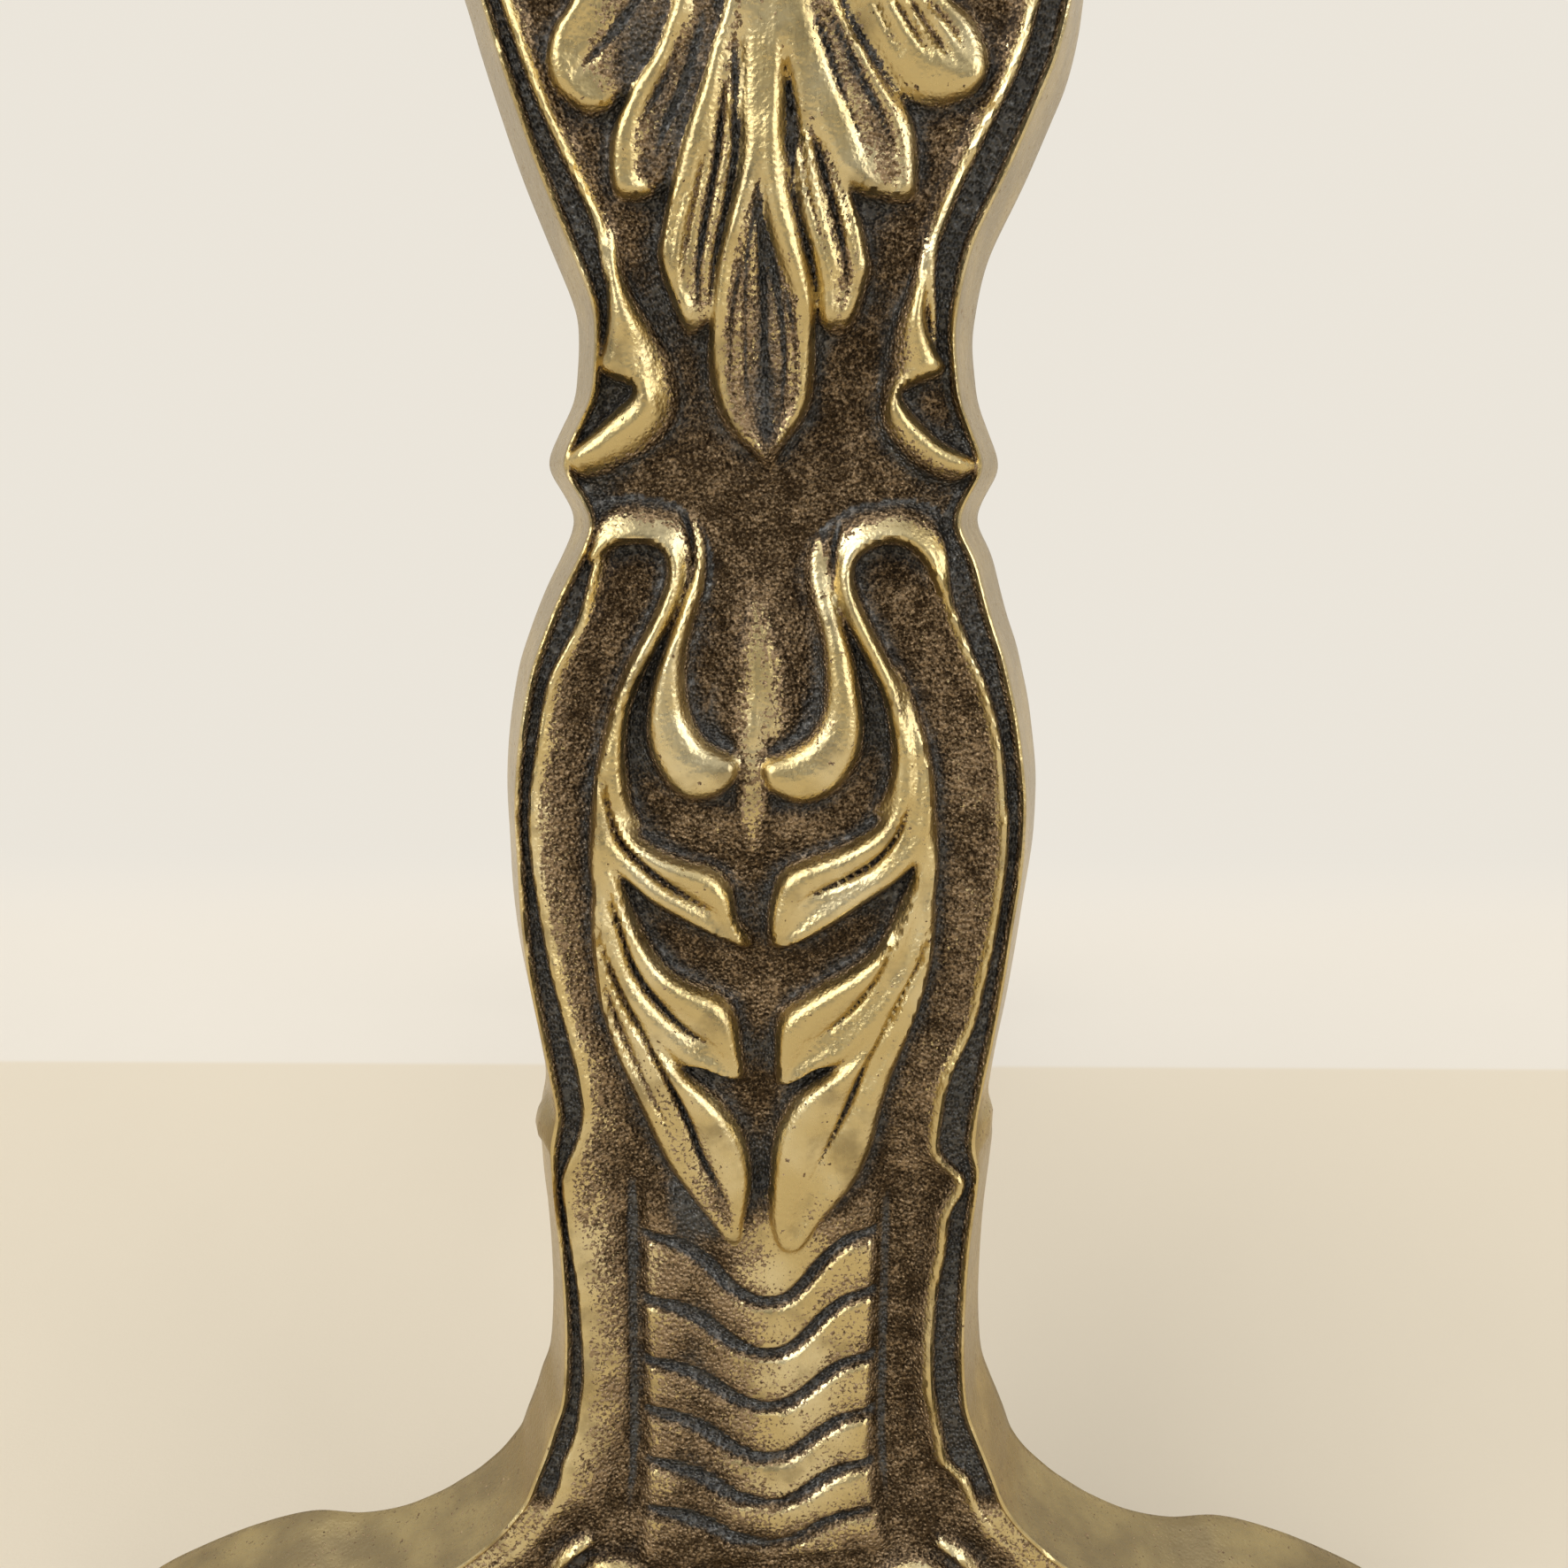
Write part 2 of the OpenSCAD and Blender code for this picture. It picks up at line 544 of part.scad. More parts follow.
// Square nut with its rear corners turned off; the turned face is a little wider than the flats
TURNED_SHARE = 1.16;
module nut(z) {
    start = bar_start + washer_thickness;
    corners = nut_side * sqrt(2);
    turned_face = nut_side * TURNED_SHARE;
    color(DARK_IRON)
        difference() {
            intersection() {
                translate([-nut_side / 2, start, z - nut_side / 2])
                    cube([nut_side, nut_thickness, nut_side]);
                translate([0, start, z])
                    rotate([-90, 0, 0])
                        cylinder(h = nut_thickness, d1 = corners + nut_thickness, d2 = turned_face);
            }
            rod(start - 1, start + nut_thickness + 1, stud_diameter, z);
        }
}

// The end of a tenon, hammered over the plate or the leg that it passes through
PEENED_SHARE = 0.62;
module peened_head(y, way) {
    translate([0, y, bar_middle])
        rotate([-90 * way, 0, 0])
            cylinder(h = head_thickness, d1 = head_diameter, d2 = head_diameter * PEENED_SHARE);
}

module tenon(start, stop) {
    translate([-tenon_side / 2, start, bar_middle - tenon_side / 2])
        cube([tenon_side, stop - start, tenon_side]);
}

module log_bar() {
    color(IRON)
        union() {
            translate([-bar_side / 2, bar_start, bar_top - bar_side])
                cube([bar_side, bar_length, bar_side]);
            tenon(back_y, bar_start);
            peened_head(back_y, -1);
            tenon(bar_end, bar_end + leg_thickness);
            peened_head(bar_end + leg_thickness, 1);
        }
}

// Flat iron leg under the bar's far end; above the bar it narrows into a stop that keeps the logs on
SHOULDER_ABOVE_BAR = 2;
CLIPPED_CORNER = 2;
module rear_leg() {
    side = leg_width / 2;
    top = stop_width / 2;
    flat = top - CLIPPED_CORNER;
    shoulder = bar_top + SHOULDER_ABOVE_BAR;
    clipped = leg_height - CLIPPED_CORNER;
    color(IRON)
        difference() {
            translate([0, bar_end + leg_thickness, 0])
                rotate([90, 0, 0])
                    linear_extrude(leg_thickness)
                        polygon([[-side, 0], [side, 0], [side, shoulder], [top, clipped],
                            [flat, leg_height], [-flat, leg_height], [-top, clipped], [-side, shoulder]]);
            translate([-tenon_hole / 2, bar_end - 1, bar_middle - tenon_hole / 2])
                cube([tenon_hole, leg_thickness + 2, tenon_hole]);
        }
}

module upper_stud() { stud(upper_stud_level); }
module lower_stud() { stud(lower_stud_level); }
module upper_washer() { washer(upper_stud_level); }
module lower_washer() { washer(lower_stud_level); }
module upper_nut() { nut(upper_stud_level); }
module lower_nut() { nut(lower_stud_level); }

front_casting();
mounting_plate();
upper_stud();
lower_stud();
upper_washer();
lower_washer();
upper_nut();
lower_nut();
log_bar();
rear_leg();
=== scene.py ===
"""Looks of a brass and iron andiron: a carved, waisted brass front, and the iron that carries the logs.

Each sub-assembly is a class whose fields are its sizes. Lengths are in millimetres in the part's own
frame, where Z is up and the ornate face looks along -Y, and turn into metres as a mesh is made.
"""

import logging
import math
from collections.abc import Sequence
from dataclasses import dataclass, field, replace
from enum import Enum

import bpy
import numpy as np
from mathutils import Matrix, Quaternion, Vector, noise

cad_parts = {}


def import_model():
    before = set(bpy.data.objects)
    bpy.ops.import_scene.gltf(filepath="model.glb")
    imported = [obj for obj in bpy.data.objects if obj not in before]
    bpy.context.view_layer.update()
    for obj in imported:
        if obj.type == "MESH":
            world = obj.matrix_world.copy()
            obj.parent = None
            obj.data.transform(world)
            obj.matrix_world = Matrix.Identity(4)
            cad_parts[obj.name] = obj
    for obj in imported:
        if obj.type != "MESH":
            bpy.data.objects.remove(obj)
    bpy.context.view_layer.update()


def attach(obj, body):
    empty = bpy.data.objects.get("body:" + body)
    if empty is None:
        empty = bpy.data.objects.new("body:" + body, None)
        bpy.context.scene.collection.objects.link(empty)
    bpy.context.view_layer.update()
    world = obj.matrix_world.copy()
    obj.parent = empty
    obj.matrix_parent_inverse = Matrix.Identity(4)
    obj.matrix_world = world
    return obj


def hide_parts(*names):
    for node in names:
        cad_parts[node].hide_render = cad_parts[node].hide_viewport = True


MM = 0.001
LOG = logging.getLogger("andiron")
Line = Sequence[tuple[float, ...]]
Pair = tuple[float, float]
Triple = tuple[float, float, float]
Place = Colour = Triple
Material = bpy.types.Material
Thing = bpy.types.Object


class Side(Enum):
    """A side of the front, with the sign of its X."""

    LEFT = -1
    RIGHT = 1


class Zone(Enum):
    """A kind of surface on the brass front, as the finish tells them apart."""

    FACE = 0.0
    WALL = 0.5
    BACK = 1.0


class Section(Enum):
    """How a raised form rises from one edge to the other: (share of the way across, share of its rise)."""

    DOME = ((0, 0), (0.07, 0.5), (0.22, 0.85), (0.45, 1), (0.7, 0.92), (0.9, 0.55), (1, 0))
    DROP = ((0, 0), (0.08, 0.62), (0.25, 0.93), (0.5, 1), (0.75, 0.93), (0.92, 0.62), (1, 0))
    RIDGE = ((0, 0), (0.2, 0.45), (0.38, 0.92), (0.5, 1), (0.62, 0.92), (0.8, 0.45), (1, 0))
    STEP = ((0, 0), (0.04, 0.9), (0.12, 1), (0.88, 1), (0.96, 0.9), (1, 0))
    TROUGH = ((0, 0), (0.07, 0.8), (0.18, 1), (0.32, 0.86), (0.5, 0.62), (0.68, 0.66), (0.86, 1),
              (0.95, 0.8), (1, 0))
    BASIN = ((0, 0), (0.06, 0.8), (0.15, 1), (0.28, 0.9), (0.42, 0.72), (0.85, 0.7), (0.96, 0.6), (1, 0))
    SWELL = ((0, 0), (0.07, 0.62), (0.2, 0.92), (0.4, 1), (0.6, 0.82), (0.8, 0.42), (0.93, 0.14), (1, 0))
    FOLD = ((0, 0), (0.06, 0.75), (0.15, 0.96), (0.3, 1), (0.45, 0.8), (0.6, 0.72), (0.8, 0.95),
            (0.93, 0.75), (1, 0))
    SHELF = ((0, 0), (0.2, 0.2), (0.45, 0.55), (0.7, 0.85), (0.9, 1), (1, 0.9))
    CHANNEL = ((0, 0), (0.14, 0.7), (0.3, 1), (0.7, 1), (0.86, 0.7), (1, 0))
    GROOVE = ((0, 0), (0.2, 0.35), (0.38, 0.9), (0.5, 1), (0.62, 0.9), (0.8, 0.35), (1, 0))


def smooth_line(points: Line, samples: int, cuts: int = 8) -> np.ndarray:
    """Draws a smooth curve through points and cuts it into equal runs.

    Args:
        points: The drawn points. The first two values of each are its place.
        samples: How many points the result has.
        cuts: How many straight pieces stand between two drawn points.

    Returns:
        An array of the samples, one row each.
    """
    p = np.asarray(points, float)
    q = np.vstack([2 * p[0] - p[1], p, 2 * p[-1] - p[-2]])
    t = (np.arange(cuts) / cuts)[:, None]
    parts = []
    for i in range(len(p) - 1):
        a, b, c, d = q[i : i + 4]
        square, cube = 2 * a - 5 * b + 4 * c - d, 3 * b - a - 3 * c + d
        parts.append(b + 0.5 * ((c - a) * t + square * t**2 + cube * t**3))
    curve = np.vstack([*parts, p[-1:]])
    steps = np.linalg.norm(np.diff(curve[:, :2], axis=0), axis=1)
    run = np.concatenate([[0], np.cumsum(steps)])
    at = np.linspace(0, run[-1], samples)
    return np.column_stack([np.interp(at, run, curve[:, k]) for k in range(p.shape[1])])


def length_of(points: Line) -> float:
    """Returns the length of a drawn line."""
    p = np.asarray(points, float)[:, :2]
    return float(np.linalg.norm(np.diff(p, axis=0), axis=1).sum())


def mirrored(points: Line) -> tuple[Pair, ...]:
    """Returns a drawn line on the other side of the middle."""
    return tuple((-x, z) for x, z in points)


def table(at: float | np.ndarray, pairs: Line) -> float | np.ndarray:
    """Returns a value read from (place, value) pairs, straight between them."""
    return np.interp(at, [p[0] for p in pairs], [p[1] for p in pairs])


def ease(value: np.ndarray, low: float, high: float) -> np.ndarray:
    """Returns 0 below low, 1 above high, and a smooth step between."""
    t = np.clip((value - low) / (high - low), 0, 1)
    return t * t * (3 - 2 * t)


def cloudy(shape: tuple[int, int], cell: float, seed: int) -> np.ndarray:
    """Makes soft noise on a grid.

    Args:
        shape: Rows and columns of the grid.
        cell: Size of one cloud, in grid steps.
        seed: Start of the random numbers.

    Returns:
        An array between -1 and 1.
    """
    rng = np.random.default_rng(seed)
    rows, columns = int(shape[0] / cell) + 3, int(shape[1] / cell) + 3
    coarse = rng.uniform(-1, 1, (rows, columns)).astype(np.float32)
    z, x = np.arange(shape[0]) / cell, np.arange(shape[1]) / cell
    i, j = z.astype(int), x.astype(int)
    fz, fx = ease(z - i, 0, 1)[:, None], ease(x - j, 0, 1)[None, :]
    low = coarse[i][:, j] * (1 - fx) + coarse[i][:, j + 1] * fx
    high = coarse[i + 1][:, j] * (1 - fx) + coarse[i + 1][:, j + 1] * fx
    return (low * (1 - fz) + high * fz).astype(np.float32)


def blurred(grid: np.ndarray, spread: float) -> np.ndarray:
    """Softens a grid.

    Args:
        grid: The values.
        spread: Standard deviation of the blur, in grid steps.

    Returns:
        A soft copy of the grid.
    """
    reach = int(spread * 2.5) + 1
    weights = np.exp(-0.5 * (np.arange(-reach, reach + 1) / spread) ** 2)
    weights /= weights.sum()
    soft = grid.astype(np.float32)
    for axis in (0, 1):
        wide = np.pad(soft, [(reach, reach) if k == axis else (0, 0) for k in (0, 1)], mode="edge")
        soft = np.zeros_like(grid, dtype=np.float32)
        size = grid.shape[axis]
        for k, weight in enumerate(weights):
            part = wide[k : k + size] if axis == 0 else wide[:, k : k + size]
            soft += np.float32(weight) * part
    return soft


# ---- The carved relief ----


@dataclass(frozen=True)
class Lobe:
    """A form raised between two drawn edges.

    The ribs run along it and stand rib_rise high; tone is how much brighter than its height alone it is,
    at even places from edge to edge.
    """

    edge_a: Line
    edge_b: Line
    rise: float
    section: Section = Section.DOME
    tone: tuple[float, ...] = (0.0,)
    root: float = 0.1
    tip: float = 0.1
    ribs: int = 0
    rib_rise: float = 0.0


@dataclass(frozen=True)
class Ridge:
    """A ridge along a drawn line, with its width at the start, in the middle and at the end."""

    line: Line
    widths: Triple
    rise: float
    section: Section = Section.RIDGE
    tone: tuple[float, ...] = (0.0,)
    root: float = 0.06
    tip: float = 0.06

    def edges(self, samples: int = 40) -> tuple[np.ndarray, np.ndarray]:
        """Finds the two edges of the ridge.

        Args:
            samples: How many points each edge has.

        Returns:
            The edge on one side of the line and the edge on the other.
        """
        line = smooth_line(self.line, samples)
        way = np.gradient(line, axis=0)
        way /= np.maximum(np.linalg.norm(way, axis=1, keepdims=True), 1e-9)
        out = np.column_stack([way[:, 1], -way[:, 0]])
        t = np.linspace(0, 1, samples)
        start, middle, end = self.widths
        half = ((1 - t) * (1 - 2 * t) * start + 4 * t * (1 - t) * middle + t * (2 * t - 1) * end) / 2
        return line + out * half[:, None], line - out * half[:, None]

    def as_lobe(self) -> Lobe:
        """Returns the same form as a lobe between its two edges."""
        a, b = self.edges()
        return Lobe(a.tolist(), b.tolist(), self.rise, self.section, self.tone, self.root, self.tip)


@dataclass
class Relief:
    """Height of the carved face over its sunk field, and its tone, on a fine grid that covers the front.

    Handling starts to polish the face at the first of the two handled heights, and does no more above the
    second.
    """

    cell: float = 0.2
    left: float = -137.0
    low: float = -3.0
    columns: int = 1371
    rows: int = 1931
    stipple: float = 0.13
    swell: float = 0.2
    handled: Pair = (2.25, 3.6)
    height: np.ndarray = field(init=False)
    tone: np.ndarray = field(init=False)
    polish: np.ndarray = field(init=False)
    crevice: np.ndarray = field(init=False)

    def __post_init__(self) -> None:
        """Starts with a flat field."""
        self.height = np.zeros((self.rows, self.columns), np.float32)
        self.tone = np.zeros((self.rows, self.columns), np.float32)

    def _patch(self, lobe: Lobe) -> tuple[np.ndarray, np.ndarray, np.ndarray]:
        """Spreads a form over points closer together than the grid.

        Args:
            lobe: The form.

        Returns:
            The place of each point, its height and its tone.
        """
        fine = self.cell * 0.55
        long = max(length_of(lobe.edge_a), length_of(lobe.edge_b))
        count = int(long / fine) + 3
        a, b = smooth_line(lobe.edge_a, count)[:, :2], smooth_line(lobe.edge_b, count)[:, :2]
        wide = float(np.linalg.norm(a - b, axis=1).max())
        s, t = np.linspace(0, 1, int(wide / fine) + 3), np.linspace(0, 1, count)
        spots = a[:, None] * (1 - s)[None, :, None] + b[:, None] * s[None, :, None]
        rise = lobe.rise * table(s, lobe.section.value)[None, :]
        if lobe.ribs:
            inside = ease(s, 0.08, 0.25) * (1 - ease(s, 0.78, 0.94))
            waves = np.cos(2 * math.pi * lobe.ribs * s) * inside
            fade = ease(t, 0.04, 0.25) * (1 - ease(t, 0.8, 0.98))
            rise = rise + lobe.rib_rise * waves[None, :] * fade[:, None]
        ends = np.minimum(1, np.minimum((t + 0.01) / lobe.root, (1.01 - t) / lobe.tip))
        tone = np.interp(s, np.linspace(0, 1, len(lobe.tone)), lobe.tone)
        rise = rise * np.sqrt(ends)[:, None]
        return spots, rise, np.broadcast_to(tone, rise.shape)

    def _window(self, spots: np.ndarray, values: np.ndarray, tones: np.ndarray
                ) -> tuple[tuple[slice, slice], np.ndarray, np.ndarray]:
        """Drops points on the grid and keeps the highest value in each cell.

        Args:
            spots: The place of each point.
            values: The value at each point.
            tones: The tone at each point.

        Returns:
            The part of the grid that the points cover, and the values and tones there.
        """
        i = np.rint((spots[..., 1].ravel() - self.low) / self.cell).astype(int)
        j = np.rint((spots[..., 0].ravel() - self.left) / self.cell).astype(int)
        keep = (i >= 0) & (i < self.rows) & (j >= 0) & (j < self.columns)
        i, j, kept = i[keep], j[keep], values.ravel()[keep].astype(np.float32)
        box = (slice(int(i.min()), int(i.max()) + 1), slice(int(j.min()), int(j.max()) + 1))
        found = np.full((box[0].stop - box[0].start, box[1].stop - box[1].start), -9, np.float32)
        flat = (i - box[0].start) * found.shape[1] + (j - box[1].start)
        np.maximum.at(found.reshape(-1), flat, kept)
        shown = np.zeros_like(found)
        highest = kept >= found.reshape(-1)[flat]
        shown.reshape(-1)[flat[highest]] = tones.ravel()[keep][highest]
        return box, found, shown

    def lift(self, form: Lobe | Ridge) -> None:
        """Raises a form out of the face where it stands higher than what is there."""
        self.strip(*self._patch(form.as_lobe() if isinstance(form, Ridge) else form))

    def strip(self, spots: np.ndarray, rise: np.ndarray, tones: np.ndarray) -> None:
        """Raises a strip given point by point.

        Args:
            spots: The place of each point.
            rise: The height at each point.
            tones: The tone at each point.
        """
        box, found, shown = self._window(spots, rise, tones)
        higher = found > self.height[box]
        self.height[box][higher] = found[higher]
        self.tone[box][higher] = shown[higher]

    def cut(self, groove: Ridge) -> None:
        """Cuts a groove into the face.

        Args:
            groove: The groove, as deep as a ridge of this kind is high.
        """
        box, found, shown = self._window(*self._patch(groove.as_lobe()))
        depth = np.maximum(found, 0)
        self.height[box] -= depth
        self.tone[box] += shown * depth / groove.rise

    def _oval(self, centre: Pair, size: Pair) -> np.ndarray:
        """Draws a soft oval on the grid.

        Args:
            centre: Its middle, across and up.
            size: How far it reaches across and up.

        Returns:
            An array that is 1 in its middle and falls to 0 outside it.
        """
        z = (np.arange(self.rows) * self.cell + self.low - centre[1])[:, None] / size[1]
        x = (np.arange(self.columns) * self.cell + self.left - centre[0])[None, :] / size[0]
        return np.exp(-((x * x + z * z) ** 1.5)).astype(np.float32)

    def shade(self, centre: Pair, size: Pair, tone: float) -> None:
        """Darkens or brightens a soft oval."""
        self.tone += tone * self._oval(centre, size)

    def heap(self, centre: Pair, size: Pair, rise: float) -> None:
        """Raises a soft oval swelling out of the sunk field."""
        self.height += rise * self._oval(centre, size)

    def soften(self, spread: float) -> None:
        """Rounds what has been raised so far, as casting does."""
        self.height = blurred(self.height, spread / self.cell)

    def settle(self) -> None:
        """Takes the edge off the cuts, adds the stippled ground, and finds what handling polished."""
        shape = self.height.shape
        soft = blurred(self.height, 1.1)
        ground = 1 - ease(soft, 0.8, 2.6)
        grain = 0.6 * cloudy(shape, 5, 3) + 0.4 * cloudy(shape, 3, 4)
        waver = self.swell * cloudy(shape, 22, 5) + 0.035 * cloudy(shape, 9, 6)
        self.height = soft + self.stipple * grain * ground + waver
        near, far = blurred(self.height, 5.5), blurred(self.height, 13)
        self.crevice = far - self.height - 2.4 * np.minimum(self.tone + 0.25, 0)
        start, full = self.handled
        self.polish = (
            0.27 * (np.minimum(self.height, full) - start) + 0.3 * (self.height - near)
            + 0.07 * (self.height - far) + self.tone
        )

    def read(self, grid: np.ndarray, spots: np.ndarray) -> np.ndarray:
        """Reads a grid between its points.

        Args:
            grid: One of the relief's grids.
            spots: Places, with across and up in the last axis.

        Returns:
            The value at each place.
        """
        z = np.clip((spots[..., 1] - self.low) / self.cell, 0, self.rows - 1.001)
        x = np.clip((spots[..., 0] - self.left) / self.cell, 0, self.columns - 1.001)
        i, j = z.astype(int), x.astype(int)
        fz, fx = z - i, x - j
        low = grid[i, j] * (1 - fx) + grid[i, j + 1] * fx
        high = grid[i + 1, j] * (1 - fx) + grid[i + 1, j + 1] * fx
        return low * (1 - fz) + high * fz


# ---- The outline of the front ----


@dataclass(frozen=True)
class Outline:
    """Outline of the front: its rims down each side, and how the rows of the casting lie between them.

    A station is (rim across, rim up, way the wall leans out in degrees, inner end across, inner end up).
    The lips and the inner rims are the outline's own places on each side, which differ a little, as on
    any front that was carved by hand.
    """

    stations: Line = (
        (4, 380, 0, 0, 380), (11.5, 377.5, 15, 0, 377.5), (17.6, 371.5, 25, 0, 371.5),
        (21, 364, 5, 0, 364), (22.6, 358.6, 15, 0, 358.6), (29, 358.2, 40, 0, 355),
        (36.4, 354.4, 38, 0, 349), (41.4, 346.5, 15, 0, 343), (44.4, 335, 0, 0, 334), (46, 322, 0, 0, 322),
        (45.2, 310, 0, 0, 310), (42.5, 298, 0, 0, 298), (38.5, 286, 0, 0, 286), (33.8, 275, 0, 0, 275),
        (29.6, 264, 0, 0, 264), (28, 255, 0, 0, 255), (28.7, 247, 0, 0, 247), (31, 240.5, 0, 0, 240.5),
        (33.4, 234.5, 0, 0, 234.5), (31.3, 229.8, 0, 0, 229.8), (29.5, 226, 0, 0, 226),
        (31.8, 220, 0, 0, 220), (35.6, 211.5, 0, 0, 211.5), (38.9, 201, 0, 0, 201), (41, 188, 0, 0, 188),
        (41.7, 176, 0, 0, 176), (40.8, 160, 0, 0, 160), (38.9, 145, 0, 0, 145), (36.8, 132, 0, 0, 132),
        (35.7, 125, 0, 0, 125), (36.9, 117, 0, 0, 117), (36, 104, 0, 0, 104), (35.3, 90, 0, 0, 90),
        (35.6, 76, 3, 0, 76), (37.7, 65, 15, 0, 63), (41.5, 55, 30, 0, 48), (46, 47, 50, 0, 34),
        (52, 41, 60, 0, 24), (57, 37.4, 66, 0, 19.5), (62, 34.4, 72, 0, 12.6), (70, 31, 82, 18, 15),
        (79, 29.4, 92, 34, 18), (88, 29.8, 86, 52, 19), (98, 27, 74, 70, 17), (108, 22.6, 64, 84, 11.5),
        (116.6, 17.8, 60, 96, 4.4), (124, 11.4, 45, 105, 0), (127.6, 6, 20, 113, 0), (129, 1.5, 0, 121, 0),
    )
    underside_from: int = 39
    lip_left: Line = (
        (45.3, 313), (42.6, 302), (38.9, 290), (35.5, 280), (31.5, 270), (27.5, 260), (27, 255),
        (27.3, 250), (28, 245), (30.5, 240), (32.7, 234.5), (30.3, 230), (28.3, 225.5), (30.3, 220),
        (32.9, 215), (35.1, 210), (37, 205), (38.6, 200), (40.4, 190), (41.2, 180), (41, 170), (40.7, 160),
        (39.7, 150), (38, 140), (36.3, 130), (35.7, 125), (36.7, 120), (37, 115), (36.5, 105), (36, 100),
        (35.5, 90), (35.5, 80), (36.3, 70), (38, 65), (39.5, 60), (41.5, 55), (43.5, 50), (46, 47),
        (49, 44), (52, 41),
    )
    lip_right: Line = (
        (46, 313), (44.6, 302), (43, 295), (41, 290), (36.8, 280), (32, 270), (30.4, 265), (29.5, 260),
        (29, 255), (29.5, 250), (30.3, 245), (32.3, 240), (34.2, 234.5), (32, 230), (30.5, 226),
        (31.7, 223), (33.3, 220), (35, 214), (36.5, 209), (38, 205), (39.3, 200), (40.5, 195), (41.3, 190),
        (42, 185), (42.4, 180), (42.2, 170), (41, 160), (39.8, 150), (38.4, 140), (36.7, 130), (35.6, 120),
        (36.8, 116), (36.5, 110), (35.6, 100), (35.2, 90), (35.2, 80), (36, 70), (37.5, 65), (39.5, 60),
        (41.5, 55), (43.5, 50), (47, 45), (50, 41),
    )
    inner_left: Line = (
        (41.6, 313), (39.2, 302), (35, 290), (30.5, 280), (28, 275), (26, 270), (25.2, 265), (24.2, 260),
        (24, 255), (24.6, 250), (25.6, 245), (28, 240), (29.6, 234.5), (27.8, 230), (26, 225.5),
        (27.5, 219), (30, 210), (32.5, 205), (35, 200), (37, 190), (38.5, 180), (38.5, 172), (37, 160),
        (35.3, 150), (33, 140), (31, 130), (31, 124), (32.5, 119), (35, 113), (34.4, 105), (33.8, 100),
        (32.5, 90), (32, 75), (32.7, 70), (33.3, 65), (35, 60), (37, 57), (38, 55),
    )
    inner_right: Line = (
        (41.4, 313), (39.3, 302), (37.4, 295), (35.2, 290), (30.2, 280), (26, 270), (25, 265), (25.4, 260),
        (26, 255), (27, 250), (27.6, 245), (29.6, 240), (31, 234.5), (29.4, 230), (27.6, 226), (28.2, 221),
        (28.9, 214), (30.5, 210), (32.5, 205), (34.8, 200), (37.7, 190), (38.8, 180), (39.2, 172),
        (38, 160), (36.5, 152), (34.5, 142), (31.5, 135), (30, 130), (29, 120), (30, 117), (34.4, 113),
        (31.5, 107), (31, 100), (29.5, 90), (29.3, 75), (30, 70), (31, 65), (32, 60), (33.5, 57), (36, 53),
        (37.5, 51),
    )
    plain_gap: Line = (
        (0, 3.4), (34, 4.5), (50, 5), (302, 5.4), (322, 5), (350, 4.6), (372, 3.4), (380, 2.4),
    )
    measured: tuple[float, float, float, float] = (43, 52, 303, 318)

    @staticmethod
    def _drawn(line: Line, up: np.ndarray, soft: float = 1.3) -> np.ndarray:
        """Reads a drawn edge of the front, with the small waver of its points taken out.

        Args:
            line: The edge, as (across, up) pairs.
            up: The levels to read it at.
            soft: How far up and down it is evened out.

        Returns:
            How far out the edge lies at each level.
        """
        fine = smooth_line(line, 900)[::-1]
        levels = np.arange(30, 330, 0.25)
        across = np.interp(levels, fine[:, 1], fine[:, 0])
        weights = np.exp(-0.5 * (np.arange(-4 * soft, 4 * soft + 0.1, 0.25) / soft) ** 2)
        even = np.convolve(np.pad(across, len(weights) // 2, mode="edge"), weights / weights.sum(), "same")
        return np.interp(up, levels, even[len(weights) // 2 :][: len(levels)])

    def rows(self, side: Side, spacing: Line) -> dict[str, np.ndarray]:
        """Lays the rows of the casting down one side.

        Args:
            side: Which side.
            spacing: Pairs of level and distance between rows there.

        Returns:
            Arrays with one entry per row: the rim, the inner end, the lean, whether the row ends at the
            underside, and the distance between the rims.
        """
        fine = smooth_line(self.stations, 6000, cuts=24)
        knots = smooth_line([(p[0], p[1], k) for k, p in enumerate(self.stations)], 6000, cuts=24)
        steps = np.linalg.norm(np.diff(fine[:, :2], axis=0), axis=1)
        pace = table(0.5 * (fine[1:, 1] + fine[:-1, 1]), spacing)
        run = np.concatenate([[0], np.cumsum(steps / pace)])
        at = np.linspace(0, run[-1], int(run[-1]) + 1)
        made = np.column_stack([np.interp(at, run, fine[:, k]) for k in range(5)])
        knot = np.interp(at, run, knots[:, 2])
        rim, inner = made[:, :2].copy(), made[:, 3:5].copy()
        rim[:, 1], inner[:, 1] = np.clip(rim[:, 1], 0, 380), np.clip(inner[:, 1], 0, 380)
        low = knot > self.underside_from
        inner[:, 0] = np.where(low, np.maximum(inner[:, 0], 0.02), 0)
        up = rim[:, 1].copy()
        drawn = self._drawn(self.lip_left if side is Side.LEFT else self.lip_right, up)
        a, b, c, d = self.measured
        share = ease(up, a, b) * (1 - ease(up, c, d)) * (rim[:, 0] < 60)
        rim[:, 0] = rim[:, 0] * (1 - share) + drawn * share
        gap = table(up, self.plain_gap)
        own = drawn - self._drawn(self.inner_left if side is Side.LEFT else self.inner_right, up)
        share = ease(up, 55, 60) * (1 - ease(up, c, d)) * (rim[:, 0] < 60)
        gap = gap * (1 - share) + own * share
        width = np.linalg.norm(rim - inner, axis=1)
        sign = np.array([side.value, 1.0])
        return {
            "rim": rim * sign,
            "inner": inner * sign,
            "lean": np.radians(made[:, 2]),
            "low": low,
            "gap": np.minimum(gap, width * 0.35),
            "up": up,
        }


